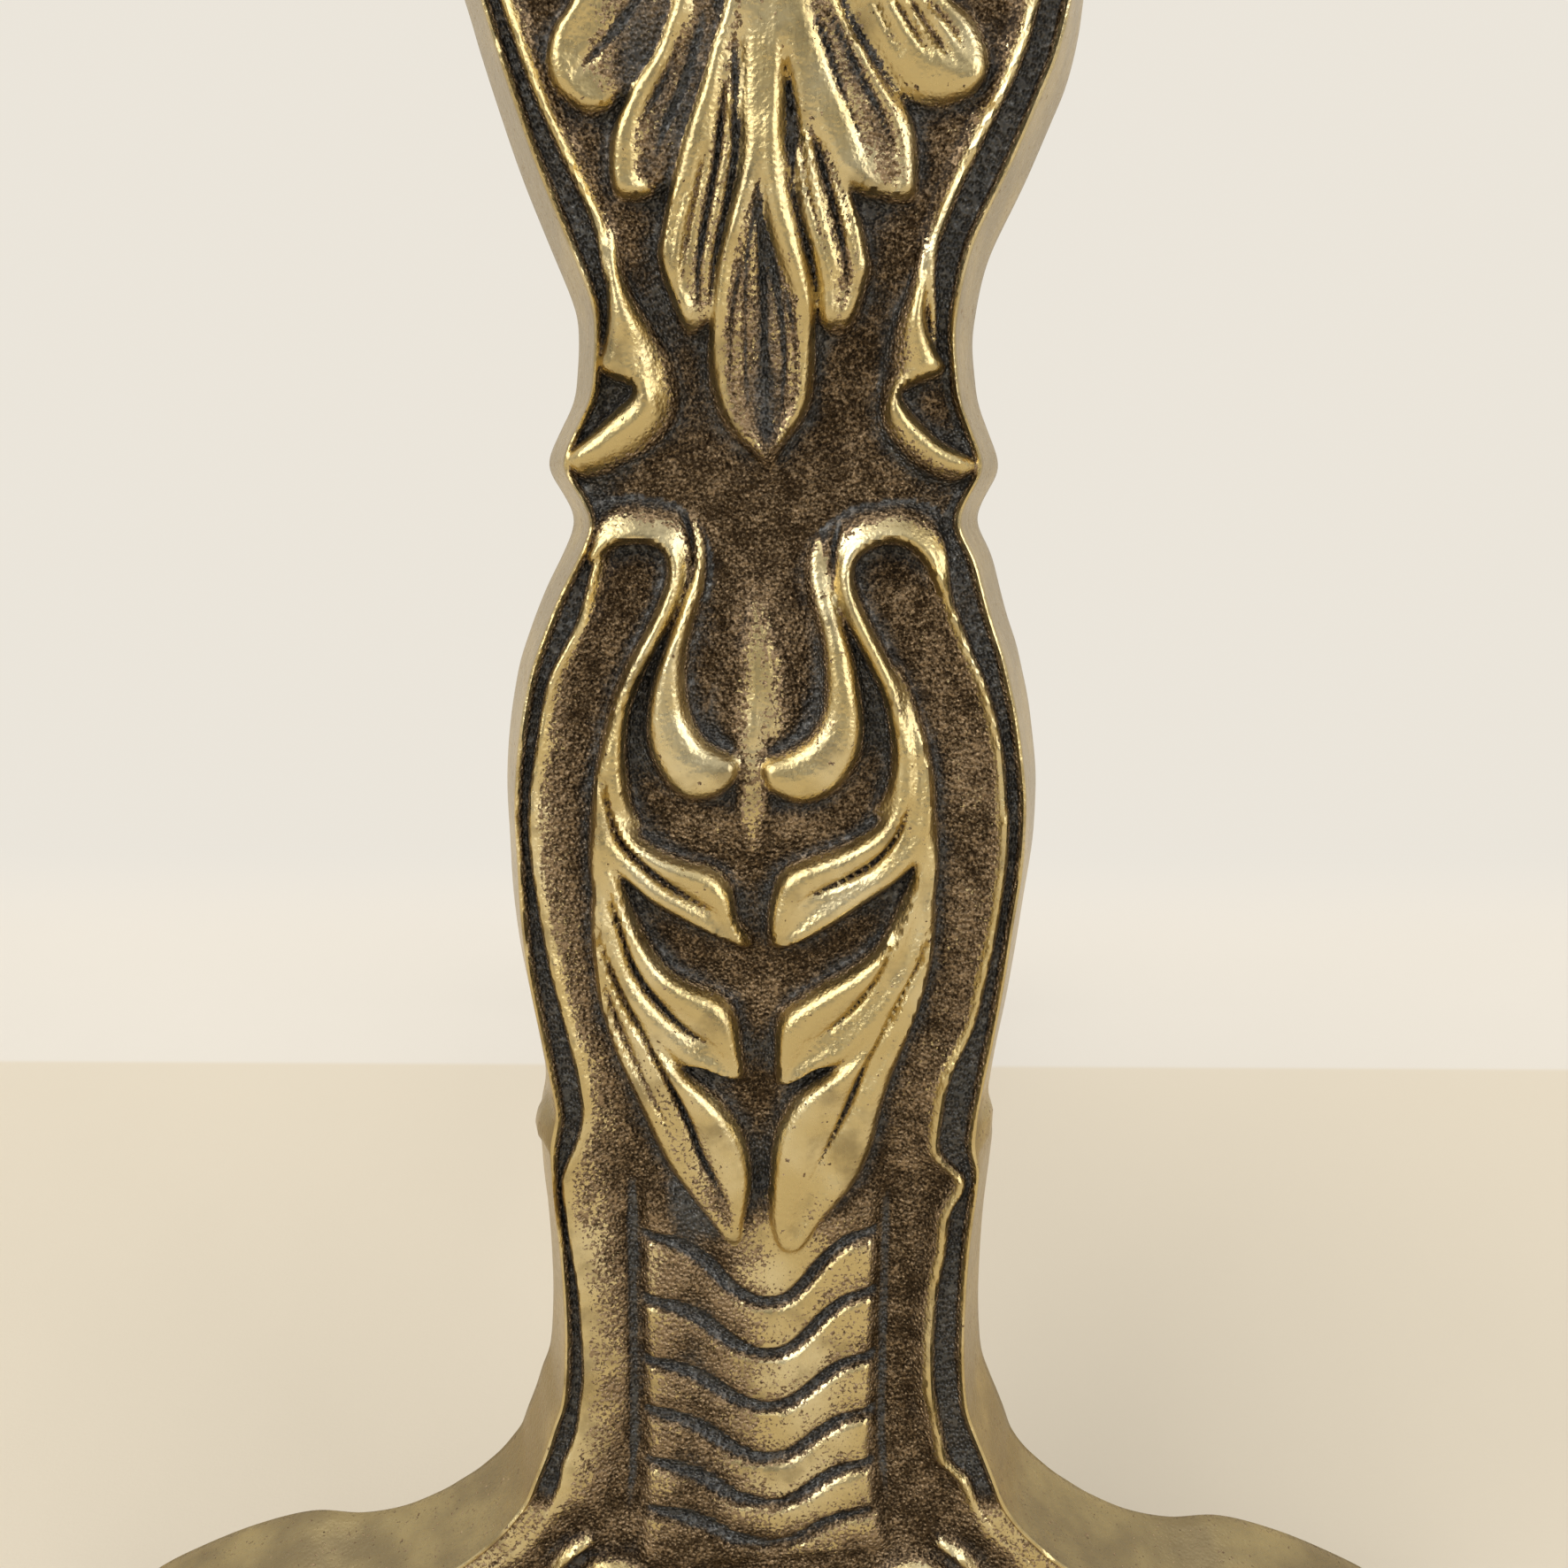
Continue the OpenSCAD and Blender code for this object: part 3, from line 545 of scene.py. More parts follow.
@dataclass(frozen=True)
class DoubleRim:
    """The outer lip, the groove and the inner rim, with the slope that falls from it to the field."""

    fine: Line = ((0, 0.11), (380, 0.11))
    lip_rise: float = 3.5
    inner_rise: float = 3.75
    groove_rise: float = 1.35
    foot_rise: float = 2.9
    slope_at: tuple[float, ...] = (0.7, 1.5, 3, 6, 9, 12)
    slope_left: Line = (
        (30, 2.7, 2.5, 2.0, 0.8, 0.2, 0), (49, 2.6, 2.2, 1.2, 0.3, 0.0, 0),
        (53, 3.4, 3.3, 2.9, 1.6, 0.3, 0), (110, 3.4, 3.3, 3.0, 2.0, 0.4, 0),
        (119, 3.2, 2.8, 2.1, 1.1, 0.4, 0), (178, 3.3, 2.8, 2.1, 1.2, 0.4, 0),
        (208, 3.2, 2.4, 1.5, 0.7, 0.2, 0), (222, 2.2, 1.2, 0.5, 0.2, 0, 0),
        (254, 2.2, 1.4, 0.7, 0.3, 0.1, 0), (270, 3.2, 2.2, 1.3, 0.6, 0.2, 0),
        (380, 3.2, 2.2, 1.1, 0.5, 0.1, 0),
    )
    slope_right: Line = (
        (30, 2.7, 2.5, 2.0, 0.8, 0.2, 0), (49, 2.5, 1.9, 1.0, 0.2, 0.0, 0),
        (53, 3.0, 1.7, 0.3, 0.0, 0.0, 0), (110, 3.0, 1.7, 0.3, 0.0, 0.0, 0),
        (119, 2.9, 2.0, 1.5, 1.0, 0.5, 0), (178, 2.9, 2.0, 1.5, 1.1, 0.6, 0.2),
        (208, 2.8, 1.9, 1.2, 0.7, 0.3, 0), (222, 2.2, 1.2, 0.5, 0.2, 0, 0),
        (254, 2.2, 1.4, 0.7, 0.3, 0.1, 0), (270, 3.1, 2.1, 1.2, 0.6, 0.2, 0),
        (380, 3.2, 2.2, 1.1, 0.5, 0.1, 0),
    )
    presence: Line = ((0, 1), (221, 1), (226, 0.1), (250, 0.1), (258, 0.8), (264, 1), (380, 1))
    tones: tuple[float, ...] = (0.3, 0.2, -0.3, -0.7, -0.7, -0.15, 0.35, 0.0, -0.2, -0.2, -0.04, 0.0, -0.2)

    def carve(self, relief: Relief, outline: Outline, side: Side) -> None:
        """Raises both rims of one side.

        Args:
            relief: The relief that takes them.
            outline: The outline they follow.
            side: Which side.
        """
        rows = outline.rows(side, self.fine)
        away = rows["inner"] - rows["rim"]
        reach = np.linalg.norm(away, axis=1)
        away /= np.maximum(reach, 1e-6)[:, None]
        across = np.arange(-1.6, 17, 0.1)
        slope = self.slope_left if side is Side.LEFT else self.slope_right
        levels = [s[0] for s in slope]
        falls = zip(*[s[1:] for s in slope])
        kept = np.stack([np.interp(rows["up"], levels, fall) for fall in falls], axis=1)
        presence = table(rows["up"], self.presence)
        rise = np.empty((len(reach), len(across)))
        tone = np.empty_like(rise)
        for n, gap in enumerate(rows["gap"]):
            tight = min(1.0, gap / 3.8)
            foot = 1 - float(ease(rows["up"][n : n + 1], 48, 55)[0])
            crest = (self.inner_rise * (1 - foot) + self.foot_rise * foot) * presence[n]
            floor = self.groove_rise * max(presence[n], 0.45) * (1 - foot) + self.foot_rise * foot
            xs = [-2, 0, 0.3 * tight, 0.6 * tight, 1.0 * tight, 1.4 * tight]
            ys = [3.4, 3.42, self.lip_rise, 3.1, 1.9, floor]
            xs += [max(gap - 1.15 * tight, 1.5 * tight), gap - 0.6 * tight, gap - 0.2, gap + 0.2]
            ys += [floor, 0.72 * crest, 0.97 * crest, crest]
            xs += [gap + d for d in self.slope_at]
            ys += list(np.minimum(kept[n], crest + 0.01) * presence[n])
            rise[n] = np.interp(across, xs, ys)
            places = (0, 0.35, 0.8, 1.4 * tight, gap - 0.9, gap - 0.35, gap, gap + 0.45, gap + 1.3,
                      gap + 3, gap + 6, gap + 9, gap + 12)
            tone[n] = np.interp(across, places, self.tones) * (1 - foot) - 0.12 * foot * (across > 0.8)
            rise[n][across > reach[n] + 0.5] = -9
        spots = rows["rim"][:, None] + away[:, None] * across[None, :, None]
        relief.strip(spots, rise, tone)

    def bead(self, relief: Relief, outline: Outline, side: Side) -> None:
        """Raises the bead that runs along the underside of a foot.

        Args:
            relief: The relief that takes it.
            outline: The outline it follows.
            side: Which side.
        """
        rows = outline.rows(side, self.fine)
        low = rows["low"]
        inner, away = rows["inner"][low], (rows["rim"] - rows["inner"])[low]
        away /= np.linalg.norm(away, axis=1)[:, None]
        across = np.arange(-1.5, 5, 0.1)
        rise = np.interp(across, [-2, 0, 0.8, 1.8, 2.8, 4.2], [3.2, 3.3, 3.5, 3.3, 2.0, 0])
        spots = inner[:, None] + away[:, None] * across[None, :, None]
        relief.strip(spots, np.tile(rise, (len(inner), 1)), np.zeros(spots.shape[:2]))


# ---- The ornament ----


@dataclass(frozen=True)
class Ornament:
    """A group of forms and grooves that make one ornament; both sides of the twins mirror each other."""

    name: str
    forms: tuple[Lobe | Ridge, ...] = ()
    twins: tuple[Lobe | Ridge, ...] = ()
    grooves: tuple[Ridge, ...] = ()
    twin_grooves: tuple[Ridge, ...] = ()

    @staticmethod
    def _other(form: Lobe | Ridge) -> Lobe | Ridge:
        """Mirrors a form.

        Args:
            form: The form.

        Returns:
            The same form on the other side of the middle.
        """
        if isinstance(form, Ridge):
            return replace(form, line=mirrored(form.line))
        return replace(form, edge_a=mirrored(form.edge_a), edge_b=mirrored(form.edge_b))

    def raise_forms(self, relief: Relief) -> None:
        """Raises the ornament's forms.

        Args:
            relief: The relief that takes them.
        """
        for form in self.forms:
            relief.lift(form)
        for form in self.twins:
            relief.lift(form)
            relief.lift(self._other(form))

    def cut_grooves(self, relief: Relief) -> None:
        """Cuts the ornament's grooves.

        Args:
            relief: The relief that takes them.
        """
        for groove in self.grooves:
            relief.cut(groove)
        for groove in self.twin_grooves:
            relief.cut(groove)
            relief.cut(self._other(groove))


def vein(*points: Pair, width: float = 0.8, depth: float = 0.8,
         tone: float = -0.25) -> Ridge:
    """Makes a fine groove that thins out at its ends.

    Args:
        points: The line it follows.
        width: Width in the middle.
        depth: Depth in the middle.
        tone: How much darker it is.

    Returns:
        The groove.
    """
    widths = (width * 0.8, width * 1.3, width * 0.4)
    return Ridge(points, widths, depth, Section.GROOVE, (tone,), 0.15, 0.35)


def hanging_leaf() -> Ornament:
    """Draws the acanthus leaf that hangs from the crest: a stem and a middle lobe, with three a side.

    Returns:
        The leaf.
    """
    forms = (
        Lobe(((-25, 314), (-23, 300), (-21, 290), (-17.6, 280), (-15.8, 277)),
             ((22, 314), (20, 300), (17.6, 290), (14.6, 280), (13, 277)),
             2.6, Section.STEP, (-0.5,), 0.02, 0.02),
        Lobe(((-26, 314), (-29.9, 302.5), (-32.6, 298.8), (-34, 294.6), (-33, 290.6), (-30.5, 288.3),
              (-28, 287.1), (-25, 287.6), (-22.8, 289)),
             ((-12, 314), (-14.2, 302.4), (-15, 300.3), (-15.8, 298.2), (-16.8, 296.4), (-17.8, 294.8),
              (-18.8, 293), (-19.8, 291.4), (-22.2, 289.4)),
             4.4, Section.BASIN, (0.35, 0.35, -0.3, -0.6, -0.65, -0.5), 0.02, 0.09, 2, 0.3),
        Lobe(((-13, 314), (-14.6, 302), (-17.4, 295), (-21, 290), (-23.7, 285), (-24.5, 280), (-24.3, 277),
              (-23.4, 275.2), (-20.6, 275), (-18, 275.4)),
             ((-4.6, 314), (-6.2, 302), (-7.8, 296.4), (-10, 290.8), (-11, 287), (-13, 282.6),
              (-14.6, 279.6), (-15, 278), (-15.4, 276.9), (-16.4, 276.2)),
             4.8, Section.BASIN, (0.35, 0.3, -0.35, -0.65, -0.65, -0.6), 0.02, 0.08, 3, 0.3),
        Lobe(((-4.6, 314), (-6.4, 302), (-8.6, 295.6), (-10.5, 290), (-12.5, 285), (-14.2, 280),
              (-15.6, 275),
              (-16.7, 270), (-17.3, 267), (-16.6, 263.6), (-15.4, 260.6), (-13.6, 256.8), (-12.3, 255.3)),
             ((-2.6, 314), (-3.6, 302), (-4.5, 296), (-4.5, 288.4), (-4.3, 281), (-5.2, 275.6),
              (-6.4, 270.2), (-7.5, 266.4), (-8.2, 261.2), (-9, 257.4), (-10.6, 255.4)),
             5.4, Section.FOLD, (0.35, 0.3, -0.05, -0.35, -0.45, -0.35), 0.02, 0.06, 2, 0.3),
        Lobe(((-2, 290), (-4.6, 276), (-7.4, 266), (-9.3, 257), (-9.4, 250), (-8.8, 245), (-7.2, 241.6),
              (-4.6, 238.8), (-1.6, 236.4), (-0.3, 235)),
             ((1, 290), (4, 276), (6.4, 266), (7.1, 257), (7.3, 251), (7.1, 246), (6.1, 243), (4, 240.2),
              (1.8, 237.6), (0.4, 235.2)),
             5.2, Section.TROUGH, (0.3, -0.25, -0.5, -0.55, -0.5, -0.55, -0.5, -0.55, -0.5, -0.55, -0.5,
                                   -0.25, 0.3),
             0.04, 0.05, 3, 0.2),
        Lobe(((0.2, 304), (1.4, 297), (3, 290), (3.9, 284), (3.8, 278.6), (4.6, 272), (6.4, 265.6),
              (7.2, 262), (7.6, 259), (8.2, 256.8), (9.4, 255.7)),
             ((6.6, 304), (8.4, 296), (9.9, 288), (11.2, 281), (12.9, 275.6), (14.4, 271.4), (15.4, 267.4),
              (16, 265), (15.3, 262.2), (14, 258.6), (12.2, 255.9)),
             5.0, Section.FOLD, (0.3, 0.0, -0.2, -0.4, -0.25, 0.2), 0.02, 0.06, 3, 0.34),
        Lobe(((-2, 314), (1.6, 299), (3.4, 291), (6.2, 284), (9, 279.4), (12.6, 276.6), (15.4, 275.6)),
             ((8.4, 314), (10.8, 302.3), (15.6, 295), (18.6, 291), (21, 288.2), (22.5, 284.6), (23, 280),
              (22.5, 275.4), (18.6, 275)),
             5.3, Section.FOLD, (0.35, 0.35, 0.3, -0.35, -0.6, -0.45, 0.35), 0.02, 0.06, 2, 0.25),
        Lobe(((6, 314), (10, 302.3), (12.6, 298), (14.8, 295), (17.8, 291), (20.4, 288.9), (25.2, 288.2),
              (29.3, 289.2), (31.2, 290.7)),
             ((23, 314), (26.4, 305), (30.4, 301.3), (32.3, 298.8), (33.3, 296), (33.1, 293.6),
              (32.3, 292)),
             4.9, Section.DOME, (0.3, 0.35, 0.25, 0.15, 0.15, 0.3), 0.02, 0.06),
        Lobe(((-6.4, 314), (-5.8, 302), (-4.9, 297), (-4.8, 288.4), (-4.7, 281), (-5.6, 275.6),
              (-6.8, 270.2), (-7.9, 266.4), (-8.6, 261.2), (-9.3, 256), (-9.4, 250), (-9, 246)),
             ((5.4, 314), (5, 302), (3.4, 292), (2, 285), (0.2, 279.4), (-1.9, 275), (-3.6, 270.6),
              (-5, 265.4), (-6, 258.8), (-7, 253), (-7.7, 248), (-8.2, 245.6)),
             6.0, Section.DOME, (0.35,), 0.02, 0.2),
        Lobe(((-5, 314), (-4, 296), (-3, 284), (-1.7, 275.4), (-0.2, 269.2), (2.4, 262.4), (4.9, 257),
              (5.9, 250), (6.2, 246)),
             ((5.4, 314), (5, 302), (3.2, 296), (3, 288), (3.2, 279), (4.7, 271.8), (6.7, 265.2),
              (7.4, 260), (7.2, 255), (7.3, 250), (7.2, 247)),
             5.9, Section.DOME, (0.35,), 0.02, 0.2),
    )
    grooves = (
        Ridge(((-0.4, 314), (-0.8, 302), (-1.2, 292), (-2, 282), (-2.8, 276)), (8, 7, 3), 1.0,
              Section.GROOVE, (-0.02,), 0.05, 0.5),
        vein((-1.8, 274.6), (-3.4, 265), (-3.6, 251), (-3, 240.4)),
        vein((-1.6, 274), (-0.9, 263), (-0.5, 250), (-0.6, 238.4)),
        vein((-1.3, 272), (1.1, 263), (2.5, 252), (1.8, 241)),
        vein((-4.2, 266), (-5.6, 258), (-6, 249), (-4.8, 242)),
        vein((2.6, 261.6), (4.3, 254), (4.4, 247), (3.2, 242.6)),
        vein((1.6, 297), (3.2, 290), (4.8, 282.4), (5.9, 276.4), (7.5, 271), (9.6, 264.6), (10.4, 260.4),
             width=0.75, depth=1.3, tone=-0.4),
        vein((2.7, 278.4), (4.6, 271.8), (6.6, 265.6), (7.8, 261.2), width=0.8, depth=1.3),
        vein((5.2, 286.4), (7.7, 280.6), (9.9, 274), (11.9, 266), (12.4, 261), width=0.9, depth=1.3),
        vein((8.2, 283), (10.8, 276.6), (12.7, 270.4), (13.9, 265), width=0.7, depth=0.9),
        vein((6.4, 301), (8.6, 296), (10.2, 291.6), (13.2, 285), (15.4, 280.4),
             width=0.85, depth=1.2, tone=-0.4),
        vein((8.8, 301.4), (13.2, 293), (17.2, 286), (19.4, 281), width=0.9, depth=1.1, tone=-0.4),
        vein((12.2, 299.8), (16.4, 292.6), (19.6, 287), (21.2, 282), width=0.8, depth=0.8),
        vein((15.4, 303), (18.3, 297.6), (19.9, 294.8), width=1.0, depth=1.3),
        vein((18, 303), (21.7, 298), (24.4, 294.2), width=1.2, depth=1.6, tone=-0.5),
        vein((20.5, 303), (24.2, 298), (27.8, 293.4), width=1.3, depth=1.6, tone=-0.5),
        vein((23, 303), (26.6, 299.6), (30, 295), width=1.2, depth=1.4, tone=-0.5),
        vein((-5.2, 297), (-5.3, 289), (-5.2, 282), (-6.2, 275.4), (-7.4, 270), (-8.4, 265), (-9, 260),
             width=0.7, depth=1.2, tone=-0.4),
        vein((-6.6, 291), (-7.8, 281), (-9.5, 272.4), (-10.8, 264.4), (-10.8, 258.8), width=1.0,
             depth=1.3),
        vein((-9.6, 281.6), (-11.6, 273.4), (-13, 266.4), (-13.2, 260.6), width=1.0, depth=1.2),
        vein((-12.4, 277), (-14.4, 270.4), (-15.2, 264.6), width=0.8, depth=0.9),
        vein((-9.4, 301), (-12.4, 292), (-15.6, 285), (-17.4, 279.6), width=1.3, depth=1.0),
        vein((-12.4, 300), (-15.4, 292.4), (-19, 286), (-20.6, 280.6), width=1.1, depth=1.0),
        vein((-18.5, 304), (-23, 298.2), (-27, 294.2), (-29.4, 291.4), width=1.3, depth=0.9),
    )
    return Ornament("hanging leaf", forms, (), grooves)


def waist_hooks() -> Ornament:
    """Draws the volute hooks that pinch the waist, which fade into the field on their inner sides.

    Returns:
        The hooks.
    """
    forms = (
        Lobe(((-25.2, 272), (-25.4, 266), (-25.4, 258), (-26.4, 253), (-27.2, 250.6), (-26, 249),
              (-23, 249.2), (-21.2, 248.4), (-21.9, 246), (-24.6, 243.4), (-28.2, 240), (-32.4, 236.2)),
             ((-23, 272), (-22, 264), (-19, 258.4), (-15.8, 253.4), (-13.6, 248), (-13.4, 243.4),
              (-15.4, 239.2), (-19, 235.6), (-23, 233.4), (-27.4, 232), (-30.4, 232.2), (-32.8, 234.4)),
             6.2, Section.SWELL, (0.35, 0.3, 0.1, 0.0, -0.2, -0.5), 0.3, 0.08),
        Lobe(((25.8, 272), (25, 263), (24.8, 257.4), (26.4, 253), (28.2, 250.2), (26, 249), (22.4, 249),
              (20.2, 248.2), (21.6, 244.8), (24.8, 241.2), (28.2, 238.4), (33.9, 235.6)),
             ((22.8, 272), (21.4, 263), (19.2, 256.4), (17.6, 250), (17, 244.6), (18.2, 239.4), (21, 235),
              (25.6, 232.2), (30.2, 231.8), (34, 234)),
             5.8, Section.SWELL, (0.35, 0.1, -0.25, -0.45, -0.55, -0.6), 0.3, 0.08),
    )
    return Ornament("waist hooks", forms)


def cartouche() -> Ornament:
    """Draws the arches and S scrolls of the cartouche, with the teardrops and the bud inside them.

    Returns:
        The cartouche.
    """
    forms = (
        Lobe(((-29, 224.6), (-27.4, 229.4), (-23, 231.6), (-18, 231.6), (-13, 229.6), (-10, 225.4),
              (-9, 219), (-9.2, 213)),
             ((-28.2, 221), (-24.6, 222.8), (-19.4, 223.4), (-16.4, 222.6), (-14.9, 220.4), (-14.9, 217.4),
              (-15.4, 215), (-16, 213)),
             4.4, Section.SHELF, (-0.8, -0.6, -0.4, -0.1, 0.3), 0.05, 0.5),
        Lobe(((28.8, 224.6), (27.4, 228.8), (23, 231), (17.6, 231), (11.6, 229.2), (7.2, 224.6),
              (6.2, 218), (7, 212)),
             ((28, 217), (25.6, 221), (22.6, 223.2), (19.4, 223.8), (15.4, 223), (12.9, 221.2),
              (12, 218.4), (12.6, 214)),
             4.4, Section.SHELF, (-0.7, -0.55, -0.3, -0.1, 0.3), 0.05, 0.5),
        Ridge(((-28.4, 219.4), (-27.2, 221.6), (-24.2, 223.4), (-20, 223.8), (-16.4, 222.6),
               (-14.7, 219.6),
               (-14.9, 215.8), (-16.6, 211.4), (-19.2, 206.4), (-21.6, 202), (-23.5, 197.4),
               (-24.4, 192.8), (-24.6, 188), (-24.2, 183), (-23.2, 179), (-21.4, 175.6)),
              (2.2, 3.0, 2.2), 4.9, Section.DROP, (0.35,), 0.02, 0.12),
        Ridge(((28.6, 214.4), (27, 219), (24, 222.8), (20, 224.2), (16, 223.2), (13.2, 221), (12.2, 217.6),
               (13, 213.6), (15, 209.4), (17.6, 204.4), (20, 199.6), (21.4, 194.2), (22, 188), (21, 182.4),
               (18.4, 178.2)), (2.2, 3.2, 2.4), 4.9, Section.DROP, (0.35,), 0.02, 0.12),
        Lobe(((-12.4, 227.6), (-10.6, 224), (-10.1, 220), (-10.4, 215.6), (-11.8, 211), (-13, 206),
              (-13.3, 201), (-12.8, 196.8), (-11.6, 193.4), (-9.8, 191), (-7.6, 189.4), (-4.7, 188.2)),
             ((-14, 227.4), (-12.8, 224), (-12.5, 220), (-13, 215.6), (-15, 210.4), (-16.9, 205.2),
              (-18.6, 200.6), (-19.6, 196), (-19.8, 191.4), (-18.8, 187), (-16.6, 183.4), (-13.6, 181),
              (-10.2, 180.7), (-7, 182), (-5.2, 184.4), (-4.7, 186.4)),
             5.1, Section.DROP, (0.4, 0.35, 0.2, 0.0, -0.2), 0.4, 0.05),
        Lobe(((6.8, 223.6), (6.2, 219.6), (6.3, 216.6), (7, 213), (8.2, 208.8), (8.8, 204.4), (9, 200.2),
              (8.6, 196), (6.9, 192.4), (4, 190), (0.9, 188.6), (-1, 187.4)),
             ((9.8, 224.4), (9.8, 221.6), (10.3, 218.2), (11.5, 213.4), (13, 208.2), (14.4, 203.6),
              (15.4, 198),
              (15.9, 193), (15.3, 188.2), (12.8, 183.8), (9.2, 180.9), (5, 180.3), (1.2, 182),
              (-0.9, 185.2)),
             5.1, Section.DROP, (-0.35, -0.1, 0.3, 0.35, 0.1), 0.5, 0.05),
        Lobe(((-2.6, 216), (-6.4, 209.4), (-9, 203), (-9.8, 197), (-8.8, 192), (-5.4, 189)),
             ((-1.6, 216), (2.8, 210), (5.8, 204), (7, 198), (6, 193), (2.6, 189.4)),
             2.3, Section.RIDGE, (-0.3, -0.3, -0.2, 0.0, 0.0, -0.2, -0.3), 0.9, 0.15),
        Ridge(((-1, 211), (-1.6, 205), (-2, 198), (-2.4, 189)), (1.0, 1.8, 2.6), 2.7, Section.DROP,
              (-0.1, 0.2, -0.1), 0.8, 0.1),
        Lobe(((-6, 192), (-6, 184), (-5.6, 178), (-4.4, 170.6)),
             ((1.4, 192), (1.2, 184), (0.8, 178), (-0.4, 170.6)),
             2.2, Section.DROP, (-0.5, -0.25, 0.05, -0.25, -0.5), 0.05, 0.4),
    )
    grooves = (
        vein((-14, 228), (-12.4, 224), (-11.9, 219.4), (-12.4, 214.6), width=0.8, depth=1.4, tone=-0.4),
        vein((11.6, 226), (10.6, 221.6), (10.8, 217), width=0.8, depth=1.2, tone=-0.4),
    )
    return Ornament("cartouche", forms, (), grooves)


def belly_leaf() -> Ornament:
    """Draws the leaf under the scrolls, whose three lobes on each side fold towards the middle.

    Returns:
        The leaf.
    """
    forms = (
        Lobe(((-24.4, 199), (-25, 189), (-25.2, 184.6), (-24.2, 179.6), (-21.6, 175.4), (-17.8, 172.4),
              (-13, 170.6), (-9.6, 169.8), (-7, 168), (-5.6, 165), (-5, 160.6), (-2.6, 156.2)),
             ((-24.8, 199), (-27, 190), (-28.4, 183), (-28.6, 176), (-26, 170.2), (-22.4, 166.2),
              (-18.6, 163), (-14, 160.4), (-10, 158.4), (-7, 157.2), (-4.6, 156.2), (-3, 155.6)),
             5.0, Section.FOLD, (0.3, 0.25, 0.0, 0.05, 0.0), 0.2, 0.04),
        Lobe(((20.6, 203), (21.6, 191), (20.6, 182), (17.6, 176.6), (12.4, 173.4), (6.8, 171.2),
              (3.2, 169.6), (1.4, 167), (0.4, 162), (0.9, 156.4)),
             ((21.6, 203), (25.4, 193), (27.6, 184), (27.4, 175), (23.6, 168.8), (19, 165), (14, 161.4),
              (9, 158.4), (5, 156.6), (1.6, 155.6)),
             5.0, Section.FOLD, (0.3, 0.3, 0.15, 0.1, -0.15), 0.25, 0.04),
        Lobe(((-28.2, 181), (-26.4, 172.6), (-23.8, 166.8), (-22.2, 161.6), (-19.8, 156.6), (-16.8, 152.2),
              (-13, 149.6), (-9, 148), (-6.2, 146), (-4.9, 143), (-4.3, 138), (-3.9, 132.8)),
             ((-29.2, 178), (-29.2, 168), (-28, 158), (-25.4, 149), (-21.6, 142.2), (-17.8, 137.4),
              (-14.4, 134.6), (-11.6, 134.4), (-8.6, 133.4), (-6, 132.6), (-4.3, 132.2)),
             5.0, Section.FOLD, (0.3, 0.25, 0.1, 0.1, 0.05), 0.12, 0.04),
        Lobe(((26.4, 181), (24.6, 170), (21.2, 160.6), (18.8, 156.4), (15, 152.8), (10, 149.8), (6, 147.2),
              (2.9, 144.8), (1.7, 142), (1.6, 137.6), (2, 131.8)),
             ((28.2, 178), (28.2, 167), (26.6, 157), (23.8, 149), (19.8, 141.6), (15.8, 136.6),
              (12, 134.8), (9, 134.2), (6, 132.6), (3.6, 131.6), (2.2, 131.2)),
             5.0, Section.FOLD, (0.3, 0.3, 0.2, 0.15, 0.0), 0.12, 0.04),
        Lobe(((-27.6, 170), (-26.8, 158), (-24, 148.4), (-20.4, 142), (-17, 137.6), (-14, 134.2),
              (-11, 131.2), (-7, 127.2), (-3.9, 122), (-2.6, 117), (-2.4, 112), (-3.7, 106), (-5, 100.6)),
             ((-28.6, 170), (-29.2, 158), (-28.4, 147), (-26, 138), (-23.2, 130.6), (-21, 124.6),
              (-18.8, 119), (-15.8, 113.4), (-12.4, 108.8), (-9.4, 105.2), (-7, 102.6), (-5.4, 100.6)),
             4.9, Section.FOLD, (0.3, 0.15, -0.15, -0.1, 0.05), 0.1, 0.04),
        Lobe(((26.6, 170), (25.2, 158), (22.4, 148.6), (18.8, 142), (15, 137.4), (11, 134.2), (6, 130.2),
              (3, 126), (1.2, 121), (0.6, 115), (0.4, 108), (1.4, 103), (3.8, 99.4)),
             ((27.6, 170), (28, 158), (26.6, 148), (24, 140), (21.6, 133), (20, 127), (18.8, 120),
              (16.2, 113.2), (12.6, 108.6), (9.2, 104.4), (6.6, 101.2), (4.4, 99.4)),
             5.0, Section.FOLD, (0.3, 0.3, 0.2, 0.1, 0.0), 0.1, 0.04),
    )
    grooves = (
        vein((-26.8, 185), (-25.4, 178), (-23.8, 174), (-20.6, 170.5), (-16.6, 167), (-12.6, 164.5),
             (-8.2, 162), width=1.25, depth=2.2),
        vein((23.4, 181), (21.3, 175.4), (17.8, 171), (13, 168), (9, 166), (5, 163.8), width=1.1,
             depth=2.0),
        vein((-26.2, 166), (-24.5, 160), (-22, 152), (-18, 146), (-13, 141), (-8.2, 138.6), width=1.15,
             depth=2.2),
        vein((24.4, 167), (22, 160), (19, 152), (15, 146), (11, 142), (6.6, 138.8), width=0.9, depth=1.6),
        vein((-28.2, 160), (-26.9, 154.6), (-24, 147), (-20, 139), (-16, 131), (-13, 124), (-11, 118),
             (-6.6, 109), width=1.2, depth=2.2),
        vein((27.4, 160), (25.2, 153.4), (21, 144), (17, 136), (14, 128), (11, 121), (7.6, 113),
             width=0.95, depth=1.8),
        vein((-27.4, 150), (-24.4, 141), (-20.6, 132), (-17, 124), (-14.6, 117), width=0.9, depth=1.2),
        vein((24.6, 146), (22, 138), (19.4, 131), (17.6, 126), width=0.6, depth=0.7),
    )
    return Ornament("belly leaf", forms, (), grooves)


